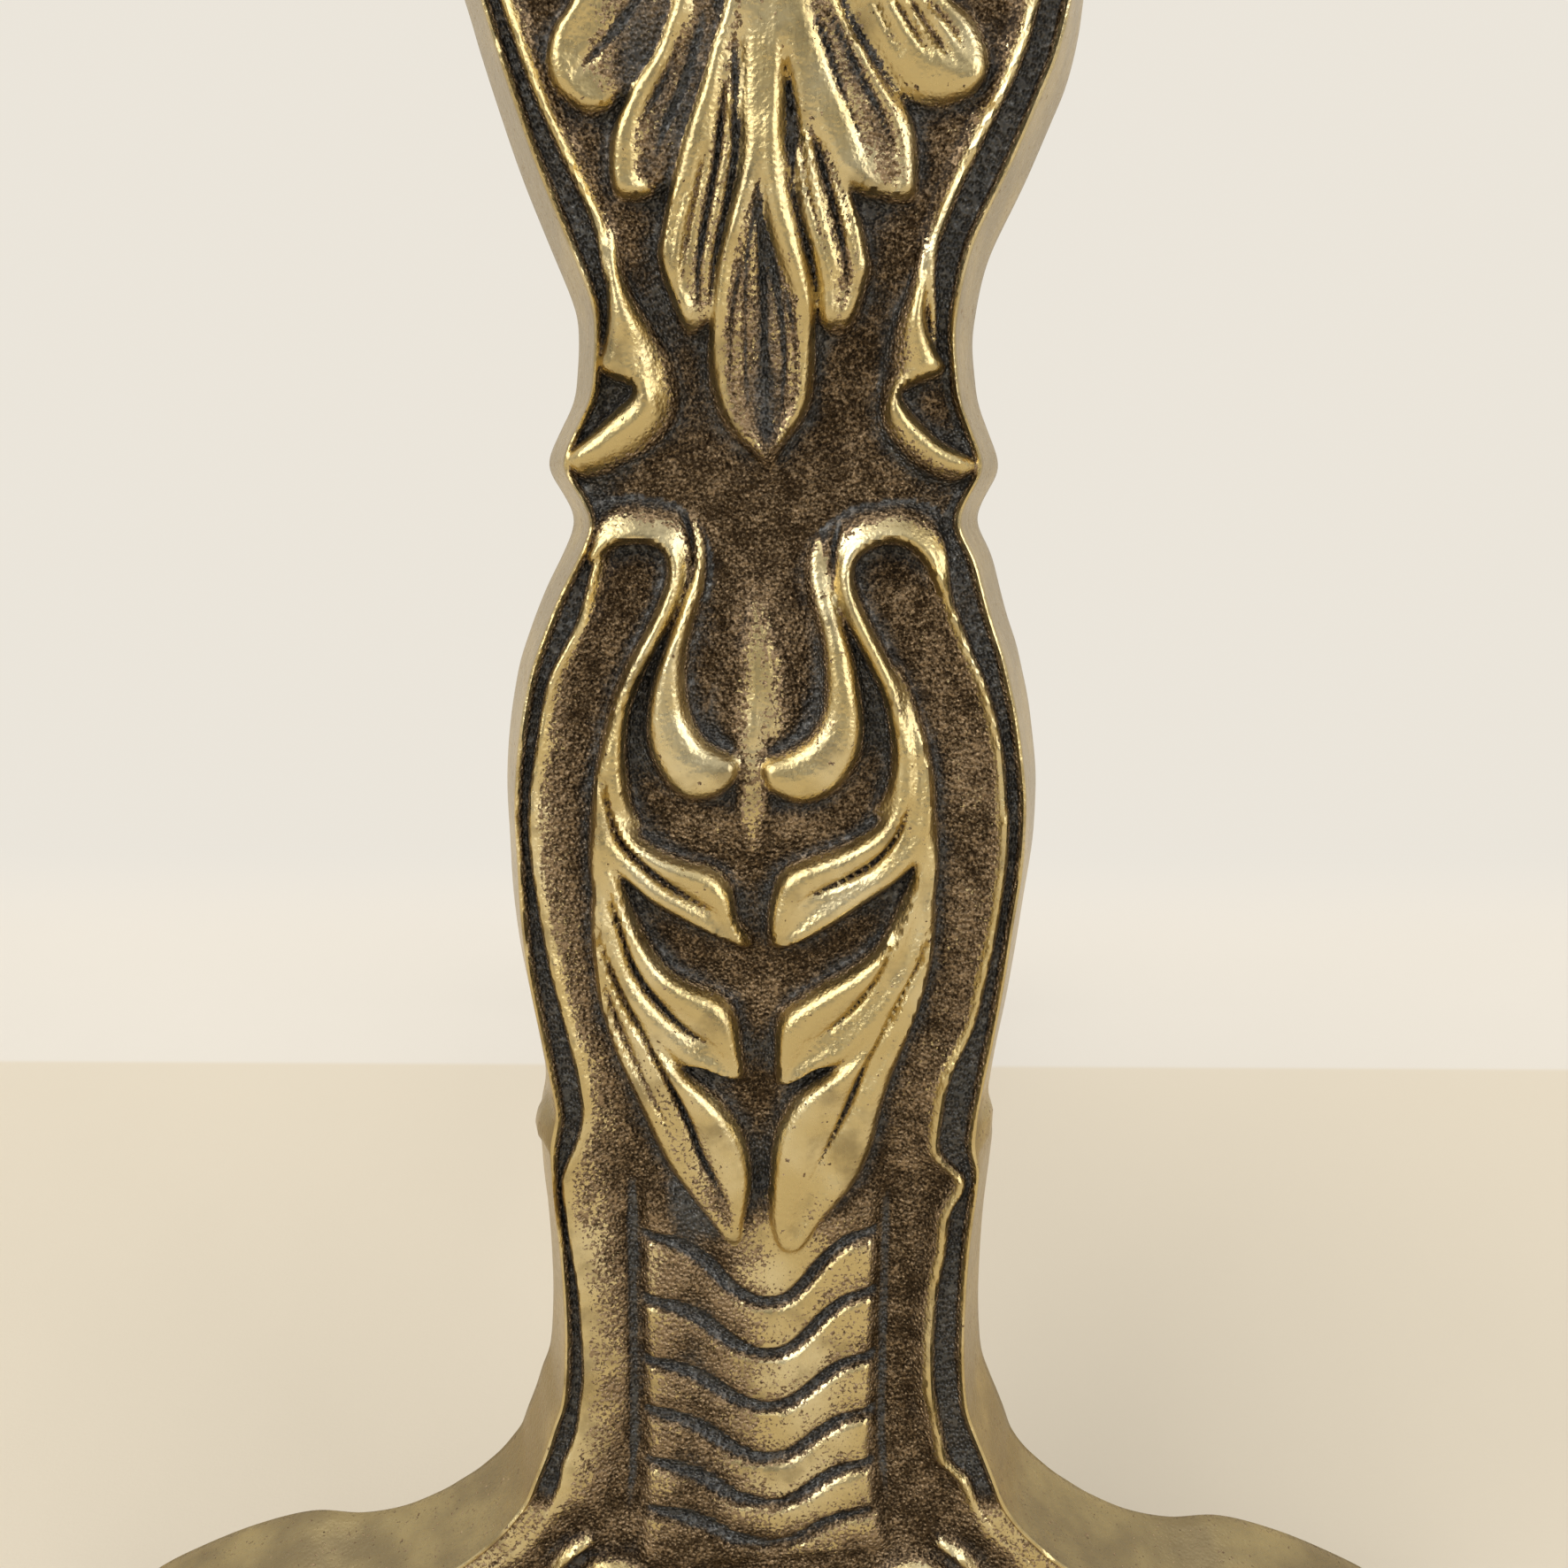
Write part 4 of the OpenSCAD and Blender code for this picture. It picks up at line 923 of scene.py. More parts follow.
def shaft_bands() -> Ornament:
    """Draws the panel of wavy bands on the shaft, cut like the rungs of a ladder.

    Returns:
        The panel.
    """
    panel = (
        Lobe(((-22, 111.5), (-22.1, 100), (-22.1, 80), (-22.2, 60), (-22.6, 46), (-24, 36)),
             ((19.9, 111.5), (19.9, 100), (19.8, 80), (19.9, 60), (20.8, 50), (23.4, 41)),
             2.75, Section.STEP, (0.0, -0.4, -0.6, -0.5, -0.2, 0.06, 0.14, 0.06, 0.0, -0.1), 0.12, 0.18),
    )
    marks = ((102, 89.5, 102.5), (89.5, 79.5, 91), (77.6, 69, 78.4), (67.6, 58.7, 67.4), (57.6, 50, 57.4),
             (48.4, 41.4, 48))
    grooves = []
    for k, (left, dip, right) in enumerate(marks):
        fall = left - dip
        line = ((-21.6, left + 0.3), (-16, left - 0.08 * fall), (-12, left - 0.26 * fall),
                (-9, left - 0.5 * fall),
                (-6, left - 0.76 * fall), (-3, dip + 0.08 * fall), (0, dip), (3.4, dip + 0.05 * fall),
                (6.4, dip + 0.24 * (right - dip)), (10, dip + 0.6 * (right - dip)),
                (13.6, dip + 0.88 * (right - dip)), (16.4, right - 0.2), (19.6, right + 0.5))
        shift = 0.2 if k % 2 else -0.2
        grooves.append(Ridge(line, (2.1 + shift, 2.3, 2.0), 1.5, Section.CHANNEL, (-0.6,), 0.03, 0.03))
        above = tuple((x, z + 2.0) for x, z in line)
        grooves.append(Ridge(above, (4.8, 5.2, 4.8), 0.5, Section.GROOVE, (-0.05,), 0.03, 0.03))
    for line in (((-23.6, 113), (-23.7, 95), (-23.8, 75), (-24, 58), (-25, 46)),
                 ((21.3, 111), (21.2, 95), (21.1, 75), (21.3, 60), (22.8, 48))):
        grooves.append(Ridge(line, (1.8, 2.0, 1.6), 0.35, Section.CHANNEL, (-0.6,), 0.1, 0.1))
    return Ornament("shaft bands", panel, (), tuple(grooves))


def foot_volutes() -> Ornament:
    """Draws the volutes at the foot of the shaft, the leaves along the feet and the apron's shell.

    Returns:
        The ornament of the feet.
    """
    middle, level, turns, cuts = 28.5, 31.0, 430.0, 20
    spiral = []
    for k in range(cuts + 1):
        angle = math.radians(75 - turns * k / cuts)
        radius = 12 - 6.5 * k / cuts
        spiral.append((middle + radius * math.cos(angle), level + radius * math.sin(angle)))
    eye = [(middle + 3.6 * math.cos(a), level + 3.6 * math.sin(a)) for a in np.linspace(-1.5, 1.6, 8)]
    other = [(2 * middle - x, z) for x, z in eye]
    twins = (
        Ridge(spiral, (3.4, 3.4, 2.6), 3.7, Section.RIDGE),
        Lobe(eye, other, 3.6, Section.DROP, (0.05,), 0.25, 0.25),
        Lobe(((46, 39), (56, 33), (68, 27.6), (80, 25.8), (92, 25.2), (103, 21), (112, 16.2),
              (118.6, 11.6)),
             ((44, 21), (56, 20.4), (68, 21.8), (80, 22), (90, 19.8), (100, 14.2), (108, 9.6),
              (116.8, 7.6)),
             3.6, Section.TROUGH, (0.1, 0.0, -0.1, 0.0, 0.1), 0.08, 0.08, 3, 0.3),
        Lobe(((52, 37), (60, 33.6), (68, 31.6), (75, 31.4)), ((50, 29), (58, 27), (66, 26.6), (75, 29)),
             3.9, Section.DOME, (0.08,), 0.1, 0.2),
        Lobe(((76, 28.6), (84, 28.2), (92, 27.4), (99, 25)),
             ((74, 23.6), (83, 22.6), (91, 23), (98.4, 23.2)), 3.9, Section.DOME, (0.08,), 0.15, 0.2),
        Ridge(((113, 12.6), (118.2, 11.4), (121.8, 8), (120.6, 4.8), (117, 4.8)), (2.6, 3.4, 2.4), 4.2,
              Section.DOME, (0.1,)),
    )
    rays, hub = [], 32
    for turn in (-62, -31, 0, 31, 62):
        across, up = math.sin(math.radians(turn + 180)), math.cos(math.radians(turn + 180))
        reach = 12.5 - abs(turn) / 40
        line = [(across * r, hub + up * r) for r in (3 + (reach - 3) * k / 4 for k in range(5))]
        rays.append(Ridge(line, (1.8, 4.2, 5.8), 3.6, Section.DOME, (0.05,), 0.1, 0.12))
    veins = (
        vein((50, 34), (60, 30), (72, 26), (84, 24), (96, 20), (108, 13.4), (115, 9.8), width=1.2,
             depth=1.3),
        vein((50, 26), (62, 23.8), (76, 23.6), (88, 21.6), (98, 17), width=0.9, depth=0.8),
        vein((118.6, 9.4), (119.4, 7.4), (118, 6.6), width=1.2, depth=1.2),
    )
    return Ornament("foot volutes", tuple(rays), twins, (), veins)


def crest_palmette() -> Ornament:
    """Draws the palmette of the crest with its hub, between two C scrolls.

    Returns:
        The palmette.
    """
    forms, hub = [], 327
    for turn in (-78, -52, -26, 0, 26, 52, 78):
        across, up = math.sin(math.radians(turn)), math.cos(math.radians(turn))
        reach = 45 - abs(turn) * 0.3 - (turn / 40) ** 2 * 1.2
        line = [(across * r, hub + up * r) for r in np.linspace(7, reach, 6)]
        a, b = Ridge(line, (2.6, 6.4, 9.4), 1).edges(16)
        forms.append(Lobe(a.tolist(), b.tolist(), 3.9, Section.TROUGH, (0.15, 0.0, -0.15, 0.0, 0.15),
                          0.1, 0.16, 2, 0.25))
    bud = [(6.8 * math.cos(a), hub + 6.8 * math.sin(a)) for a in np.linspace(-1.5, 1.6, 10)]
    forms.append(Lobe(bud, [(-x, z) for x, z in bud], 5.0, Section.DROP, (0.12,), 0.3, 0.3))
    twins = (
        Ridge(((9, 311), (16, 313), (25, 315), (33, 321), (37.4, 330), (36, 339.6), (29.6, 343), (25, 339),
               (27, 334.4)), (3.2, 5.0, 3.4), 4.8, Section.DOME, (0.1,)),
    )
    grooves = tuple(
        vein(*[(math.sin(math.radians(t)) * r, hub + math.cos(math.radians(t)) * r) for r in (9, 20, 30)],
             width=1.0, depth=0.8)
        for t in (-66, -39, -13, 13, 39, 66)
    )
    return Ornament("crest palmette", tuple(forms), twins, grooves)


# ---- Finishes ----


class NodeKit:
    """Builds the nodes of one material in short calls."""

    def __init__(self, name: str) -> None:
        """Starts a material with a Principled shader.

        Args:
            name: The material's name.
        """
        self.material = bpy.data.materials.new(name)
        self.material.use_nodes = True
        self.tree = self.material.node_tree
        self.shader = self.tree.nodes["Principled BSDF"]
        place = self.tree.nodes.new("ShaderNodeTexCoord")
        self.place = place.outputs["Object"]

    def _join(self, source: object, socket: bpy.types.NodeSocket) -> None:
        """Sets a socket to a number, or links it to another node's socket.

        Args:
            source: The number or colour, or the other node's socket.
            socket: The socket that takes it.
        """
        if isinstance(source, bpy.types.NodeSocket):
            self.tree.links.new(source, socket)
        else:
            socket.default_value = source

    def noise(self, size: float, detail: float = 3, rough: float = 0.55,
              stretch: Triple = (1, 1, 1)) -> object:
        """Adds noise.

        Args:
            size: Size of one cloud, in millimetres.
            detail: How many finer layers lie over it.
            rough: Strength of the finer layers.
            stretch: What the place is multiplied by first.

        Returns:
            The noise's value, about 0.5 in the middle.
        """
        scaled = self.tree.nodes.new("ShaderNodeVectorMath")
        scaled.operation = "MULTIPLY"
        self.tree.links.new(self.place, scaled.inputs[0])
        scaled.inputs[1].default_value = stretch
        cloud = self.tree.nodes.new("ShaderNodeTexNoise")
        self.tree.links.new(scaled.outputs[0], cloud.inputs["Vector"])
        cloud.inputs["Scale"].default_value = 1 / (size * MM)
        cloud.inputs["Detail"].default_value = detail
        cloud.inputs["Roughness"].default_value = rough
        return cloud.outputs["Fac"]

    def cells(self, size: float) -> object:
        """Adds cells.

        Args:
            size: About how far their centres lie apart, in millimetres.

        Returns:
            The distance from the nearest centre.
        """
        cell = self.tree.nodes.new("ShaderNodeTexVoronoi")
        self.tree.links.new(self.place, cell.inputs["Vector"])
        cell.inputs["Scale"].default_value = 1 / (size * MM)
        return cell.outputs["Distance"]

    def value(self, name: str) -> object:
        """Reads a value that the mesh carries at each vertex.

        Args:
            name: The value's name.

        Returns:
            The value.
        """
        attribute = self.tree.nodes.new("ShaderNodeAttribute")
        attribute.attribute_name = name
        return attribute.outputs["Fac"]

    def sum(self, operation: str, a: object, b: object, c: object = 0.0) -> object:
        """Adds a math node.

        Args:
            operation: What it does.
            a: Its first value.
            b: Its second value.
            c: Its third value, where it takes one.

        Returns:
            The result.
        """
        node = self.tree.nodes.new("ShaderNodeMath")
        node.operation = operation
        for socket, source in zip(node.inputs, (a, b, c)):
            self._join(source, socket)
        return node.outputs[0]

    def stir(self, base: object, cloud: object, share: float) -> object:
        """Returns a value to which a share of a noise is added, up where it is over 0.5 and down below."""
        return self.sum("MULTIPLY_ADD", self.sum("SUBTRACT", cloud, 0.5), share, base)

    def spread(self, source: object, low: float, high: float, to_low: float = 0.0,
               to_high: float = 1.0) -> object:
        """Maps a value by a smooth step.

        Args:
            source: The value.
            low: Where the step starts.
            high: Where the step ends.
            to_low: The result at and below the start.
            to_high: The result at and above the end.

        Returns:
            The mapped value.
        """
        node = self.tree.nodes.new("ShaderNodeMapRange")
        node.interpolation_type = "SMOOTHSTEP"
        sockets = ("Value", "From Min", "From Max", "To Min", "To Max")
        for name, given in zip(sockets, (source, low, high, to_low, to_high)):
            self._join(given, node.inputs[name])
        return node.outputs["Result"]

    def blend(self, share: object, a: object, b: object) -> object:
        """Mixes two colours.

        Args:
            share: How much of the second one shows, from 0 to 1.
            a: The first colour.
            b: The second colour.

        Returns:
            The mix.
        """
        node = self.tree.nodes.new("ShaderNodeMix")
        node.data_type = "RGBA"
        for socket, source in zip((node.inputs[0], node.inputs[6], node.inputs[7]), (share, a, b)):
            self._join((*source, 1.0) if isinstance(source, tuple) else source, socket)
        return node.outputs[2]

    def bump(self, height: object, depth: float, strength: float = 1.0, under: object = None) -> object:
        """Adds a bump.

        Args:
            height: The height, from 0 to 1.
            depth: What a height of 1 stands for, in millimetres.
            strength: Strength of the bump.
            under: The normal of a bump below this one.

        Returns:
            The bent normal.
        """
        node = self.tree.nodes.new("ShaderNodeBump")
        self._join(height, node.inputs["Height"])
        node.inputs["Distance"].default_value = depth * MM
        node.inputs["Strength"].default_value = strength
        if under is not None:
            self._join(under, node.inputs["Normal"])
        return node.outputs["Normal"]

    def dress(self, **sockets: object) -> Material:
        """Feeds the shader.

        Args:
            **sockets: What goes into each socket, whose name has _ for a space.

        Returns:
            The material.
        """
        for name, source in sockets.items():
            source = (*source, 1.0) if isinstance(source, tuple) else source
            self._join(source, self.shader.inputs[name.replace("_", " ")])
        return self.material


@dataclass(frozen=True)
class PatinatedBrass:
    """Hand-chased brass, bright where it was handled, pitted on the slopes, blue-black in the recesses."""

    name: str = "patinated_brass"
    bright: Colour = (0.61, 0.48, 0.22)
    pale: Colour = (0.76, 0.65, 0.385)
    side: Colour = (0.28, 0.215, 0.11)
    sheen: Colour = (0.86, 0.74, 0.52)
    worn: Colour = (0.32, 0.225, 0.13)
    brown: Colour = (0.032, 0.0175, 0.0065)
    # Darker olive gold for random patches that paint a dark reflection of the room into the gold, along with
    # tarnish.
    dull: Colour = (0.26, 0.20, 0.095)
    slate: Colour = (0.072, 0.076, 0.078)
    # Light grey of the specks in the crevices: partly dust, partly a painted sheen standing in for the
    # grooves' glossy highlights.
    dust_and_sheen: Colour = (0.27, 0.28, 0.28)
    cast: Colour = (0.185, 0.125, 0.062)
    skin: Colour = (0.062, 0.042, 0.025)

    def make(self) -> Material:
        """Builds the material from the polish, crevice and zone that the casting's mesh carries.

        Returns:
            The material.
        """
        kit = NodeKit(self.name)
        polish, crevice, zone = kit.value("polish"), kit.value("crevice"), kit.value("zone")
        speck = kit.noise(0.62, 4, 0.6)
        cloud = kit.noise(5.5, 3, 0.5)
        pitted = kit.stir(kit.stir(polish, speck, 2.3), cloud, 0.6)
        pitted = kit.sum("SUBTRACT", pitted, kit.spread(kit.noise(1.2, 2, 0.5), 0.69, 0.73, 0, 1.5))
        shine = kit.spread(pitted, -0.02, 0.04)
        tan = kit.spread(polish, -0.75, 0.1)
        tarnish = kit.noise(16, 3, 0.5)
        gold = kit.blend(kit.spread(tarnish, 0.42, 0.75), self.bright, self.pale)
        # Random darker patches on the gold: partly tarnish, partly a painted dark reflection of the room.
        tarnish_and_dark_reflection = kit.sum("MULTIPLY", kit.spread(kit.noise(9, 4, 0.55), 0.5, 0.72), 0.7)
        gold = kit.blend(tarnish_and_dark_reflection, gold, self.dull)
        walls = kit.blend(kit.spread(tarnish, 0.4, 0.7, 0, 0.5), self.side, self.bright)
        gold = kit.blend(kit.spread(zone, 0.2, 0.45), gold, walls)
        grains = kit.sum("MULTIPLY_ADD", tan, 0.2, kit.noise(0.5, 3, 0.6))
        grains = kit.stir(grains, kit.noise(4.5, 3), 0.5)
        ground = kit.blend(kit.spread(grains, 0.41, 0.745), self.brown, self.worn)
        wear = kit.spread(kit.sum("MULTIPLY_ADD", kit.noise(7, 3), 1.6, crevice), 1.25, 2.6)
        dark = kit.blend(kit.sum("MULTIPLY", wear, 0.85), ground, self.slate)
        # Light grey specks where the crevice is deep: partly dust, partly a painted sheen of glossy
        # highlights in the grooves.
        dust_and_sheen_share = kit.spread(kit.noise(1.3, 4, 0.7), 0.5, 0.72)
        dust_and_sheen_share = kit.sum("MULTIPLY", dust_and_sheen_share, kit.spread(crevice, 0.8, 2.4))
        dark = kit.blend(kit.sum("MULTIPLY", dust_and_sheen_share, 0.7), dark, self.dust_and_sheen)
        face = kit.blend(shine, dark, gold)
        sand = kit.sum("MULTIPLY_ADD", kit.noise(0.9, 3, 0.65), 0.7, kit.noise(14, 4, 0.6))
        rough_cast = kit.blend(kit.spread(sand, 0.62, 1.05), self.skin, self.cast)
        behind = kit.spread(zone, 0.6, 0.9)
        colour = kit.blend(behind, face, rough_cast)
        rough = kit.stir(kit.spread(shine, 0, 1, 0.4, 0.3), kit.noise(1.8, 3), 0.22)
        rough = kit.stir(rough, kit.noise(0.35, 2, 0.5, (1, 1, 0.08)), 0.2)
        rough = kit.sum("MULTIPLY_ADD", behind, 0.25, rough)
        metal = kit.spread(kit.sum("MULTIPLY", shine, kit.sum("SUBTRACT", 1.0, behind)), 0, 1, 0.72, 1.0)
        grain = kit.spread(kit.cells(0.8), 0.0, 0.75)
        grain = kit.sum("MULTIPLY", grain, kit.spread(shine, 0, 1, 1.0, 0.08))
        normal = kit.bump(shine, 0.09, 1.0)
        normal = kit.bump(grain, 0.55, 1.0, normal)
        normal = kit.bump(kit.noise(0.35, 3, 0.6), 0.04, 0.7, normal)
        normal = kit.bump(kit.noise(2.4, 4, 0.6), 0.5, 0.4, normal)
        return kit.dress(Base_Color=colour, Metallic=metal, Roughness=rough, Normal=normal,
                         Specular_Tint=self.sheen, Coat_Weight=kit.spread(shine, 0, 1, 0.1, 0.5),
                         Coat_Roughness=0.22)


@dataclass(frozen=True)
class RustedIron:
    """Forged bar iron under brown rust, with fire scale and worn dark steel on its edges."""

    name: str = "rusted_iron"
    scale_grey: Colour = (0.050, 0.042, 0.038)
    rust: Colour = (0.20, 0.085, 0.035)
    umber: Colour = (0.105, 0.058, 0.034)

    def make(self) -> Material:
        """Builds the material.

        Returns:
            The material.
        """
        kit = NodeKit(self.name)
        patches, grains = kit.noise(22, 5, 0.6), kit.noise(2.6, 4, 0.65)
        specks = kit.noise(0.8, 3, 0.6)
        mixed = kit.stir(patches, grains, 0.6)
        colour = kit.blend(kit.spread(mixed, 0.36, 0.6), self.scale_grey, self.umber)
        colour = kit.blend(kit.spread(mixed, 0.52, 0.74), colour, self.rust)
        colour = kit.blend(kit.spread(specks, 0.6, 0.75, 0, 0.5), colour, self.scale_grey)
        metal = kit.spread(mixed, 0.4, 0.6, 0.75, 0.1)
        rough = kit.spread(mixed, 0.35, 0.65, 0.52, 0.85)
        normal = kit.bump(specks, 0.15, 0.6, kit.bump(grains, 0.5, 0.55))
        return kit.dress(Base_Color=colour, Metallic=metal, Roughness=rough, Normal=normal)


@dataclass(frozen=True)
class BlackenedIron:
    """Fire-blackened fasteners with a little rust in their hollows."""

    name: str = "blackened_iron"
    black: Colour = (0.032, 0.030, 0.030)
    rust: Colour = (0.12, 0.055, 0.03)

    def make(self) -> Material:
        """Builds the material.

        Returns:
            The material.
        """
        kit = NodeKit(self.name)
        patches, grains = kit.noise(5, 4, 0.6), kit.noise(0.7, 4, 0.6)
        colour = kit.blend(kit.spread(patches, 0.48, 0.68), self.black, self.rust)
        metal = kit.spread(patches, 0.45, 0.6, 0.85, 0.2)
        rough = kit.spread(patches, 0.4, 0.65, 0.42, 0.8)
        normal = kit.bump(grains, 0.16, 0.6)
        return kit.dress(Base_Color=colour, Metallic=metal, Roughness=rough, Normal=normal)


@dataclass(frozen=True)
class PaleFloor:
    """Plain pale floor: a warm cloth tone under the object, and an off-white wall behind it."""

    name: str = "pale_floor"
    cloth: Colour = (0.69, 0.62, 0.50)
    far: Colour = (0.73, 0.69, 0.62)
    wall: Colour = (0.83, 0.785, 0.705)
    cloth_edge: Pair = (0.139, 0.144)
    wall_from: Pair = (0.28, 0.5)

    def make(self) -> Material:
        """Builds the material. The cloth's edge and the wall's start are metres along Y.

        Returns:
            The material.
        """
        kit = NodeKit(self.name)
        split = kit.tree.nodes.new("ShaderNodeSeparateXYZ")
        kit.tree.links.new(kit.place, split.inputs[0])
        beyond = kit.spread(split.outputs["Y"], *self.cloth_edge)
        tone = kit.blend(beyond, self.cloth, self.far)
        folds = kit.noise(160, 3, 0.5, (1, 0.5, 1))
        normal = kit.bump(kit.noise(0.9, 2), 0.12, 0.4, kit.bump(folds, 9.0, 0.5))
        rays = kit.tree.nodes.new("ShaderNodeLightPath")
        seen = kit.sum("ADD", rays.outputs["Is Camera Ray"], rays.outputs["Is Glossy Ray"])
        seen = kit.sum("MINIMUM", kit.sum("ADD", seen, rays.outputs["Is Transmission Ray"]), 1.0)
        glow = kit.sum("MULTIPLY", seen, kit.spread(split.outputs["Y"], *self.wall_from))
        dull = kit.blend(glow, tone, (0.0, 0.0, 0.0))
        shine = kit.sum("MULTIPLY", kit.sum("SUBTRACT", 1.0, glow), 0.15)
        return kit.dress(Base_Color=dull, Roughness=0.92, Specular_IOR_Level=shine, Normal=normal,
                         Emission_Color=self.wall, Emission_Strength=glow)


# ---- Meshes ----


@dataclass(frozen=True)
class Skin:
    """A closed skin over rings of points, with a flat end on the first ring and on the last.

    The faces of a turned skin look the other way, and one with a bore joins its last ring to its first.
    """

    rings: list[list[Place]]
    turned: bool = False
    bore: bool = False

    def add_to(self, verts: list, faces: list) -> None:
        """Adds the skin to a mesh.

        Args:
            verts: Points so far.
            faces: Faces so far.
        """
        size = len(self.rings[0])
        starts = [len(verts) + size * k for k in range(len(self.rings))]
        first, last = starts[0], starts[-1]
        ends = [tuple(range(first, first + size))[::-1], tuple(range(last, last + size))]
        after = [*starts[1:], first] if self.bore else starts[1:]
        made = [(a + k, a + (k + 1) % size, b + (k + 1) % size, b + k)
                for a, b in zip(starts, after) for k in range(size)]
        made += [] if self.bore else ends
        faces += [face[::-1] for face in made] if self.turned else made
        for ring in self.rings:
            verts += ring


def circle(count: int) -> list[Pair]:
    """Returns evenly spread places on a circle of radius 1, turning left."""
    return [(math.cos(2 * math.pi * k / count), math.sin(2 * math.pi * k / count)) for k in range(count)]


def rounded_section(half: Pair, soft: float, parts: tuple[int, int]) -> list[Pair]:
    """Draws a rectangle with rounded corners round its middle, turning left.

    Args:
        half: Half its width and half its height.
        soft: Radius of the corners.
        parts: How many pieces its level sides and its upright sides are cut into.

    Returns:
        Its points.
    """
    ring = []
    for turn, (side, top) in enumerate(((1, 1), (-1, 1), (-1, -1), (1, -1))):
        x, z = side * (half[0] - soft), top * (half[1] - soft)
        for k in range(5):
            angle = math.radians(90 * turn + 90 * k / 4)
            ring.append((x + soft * math.cos(angle), z + soft * math.sin(angle)))
        last_x, last_z = ring[-1]
        run_x, run_z = (0, -2 * z) if turn % 2 else (-2 * x, 0)
        count = parts[turn % 2]
        ring += [(last_x + run_x * k / count, last_z + run_z * k / count) for k in range(1, count)]
    return ring


def hammered(place: Place, depth: float) -> float:
    """Returns how deep the hammer has dented forged iron at a place, up to about the given depth."""
    return depth * (0.5 + 0.5 * noise.fractal(Vector(place), 0.8, 2.1, 3))


def mesh_object(name: str, verts: np.ndarray, faces: list[tuple[int, ...]], sharp: float = 38) -> Thing:
    """Makes an object from points in millimetres, smooth but for its sharp edges.

    Args:
        name: The object's name.
        verts: The points.
        faces: The faces, as numbers of points.
        sharp: Angle in degrees above which an edge stays sharp.

    Returns:
        The object, linked to the scene.
    """
    mesh = bpy.data.meshes.new(name)
    mesh.from_pydata((np.asarray(verts, float) * MM).tolist(), [], faces)
    mesh.validate()
    mesh.update()
    mesh.polygons.foreach_set("use_smooth", [True] * len(mesh.polygons))
    mesh.set_sharp_from_angle(angle=math.radians(sharp))
    made = bpy.data.objects.new(name, mesh)
    bpy.context.scene.collection.objects.link(made)
    return made


def signed_volume(verts: np.ndarray, faces: Sequence[Sequence[int]]) -> float:
    """Measures the volume inside a closed mesh.

    Args:
        verts: The points.
        faces: The faces, as numbers of points.

    Returns:
        The volume, negative if the mesh is inside out.
    """
    total = 0.0
    for face in faces:
        a = verts[face[0]]
        for k in range(1, len(face) - 1):
            total += float(np.dot(a, np.cross(verts[face[k]], verts[face[k + 1]])))
    return total / 6


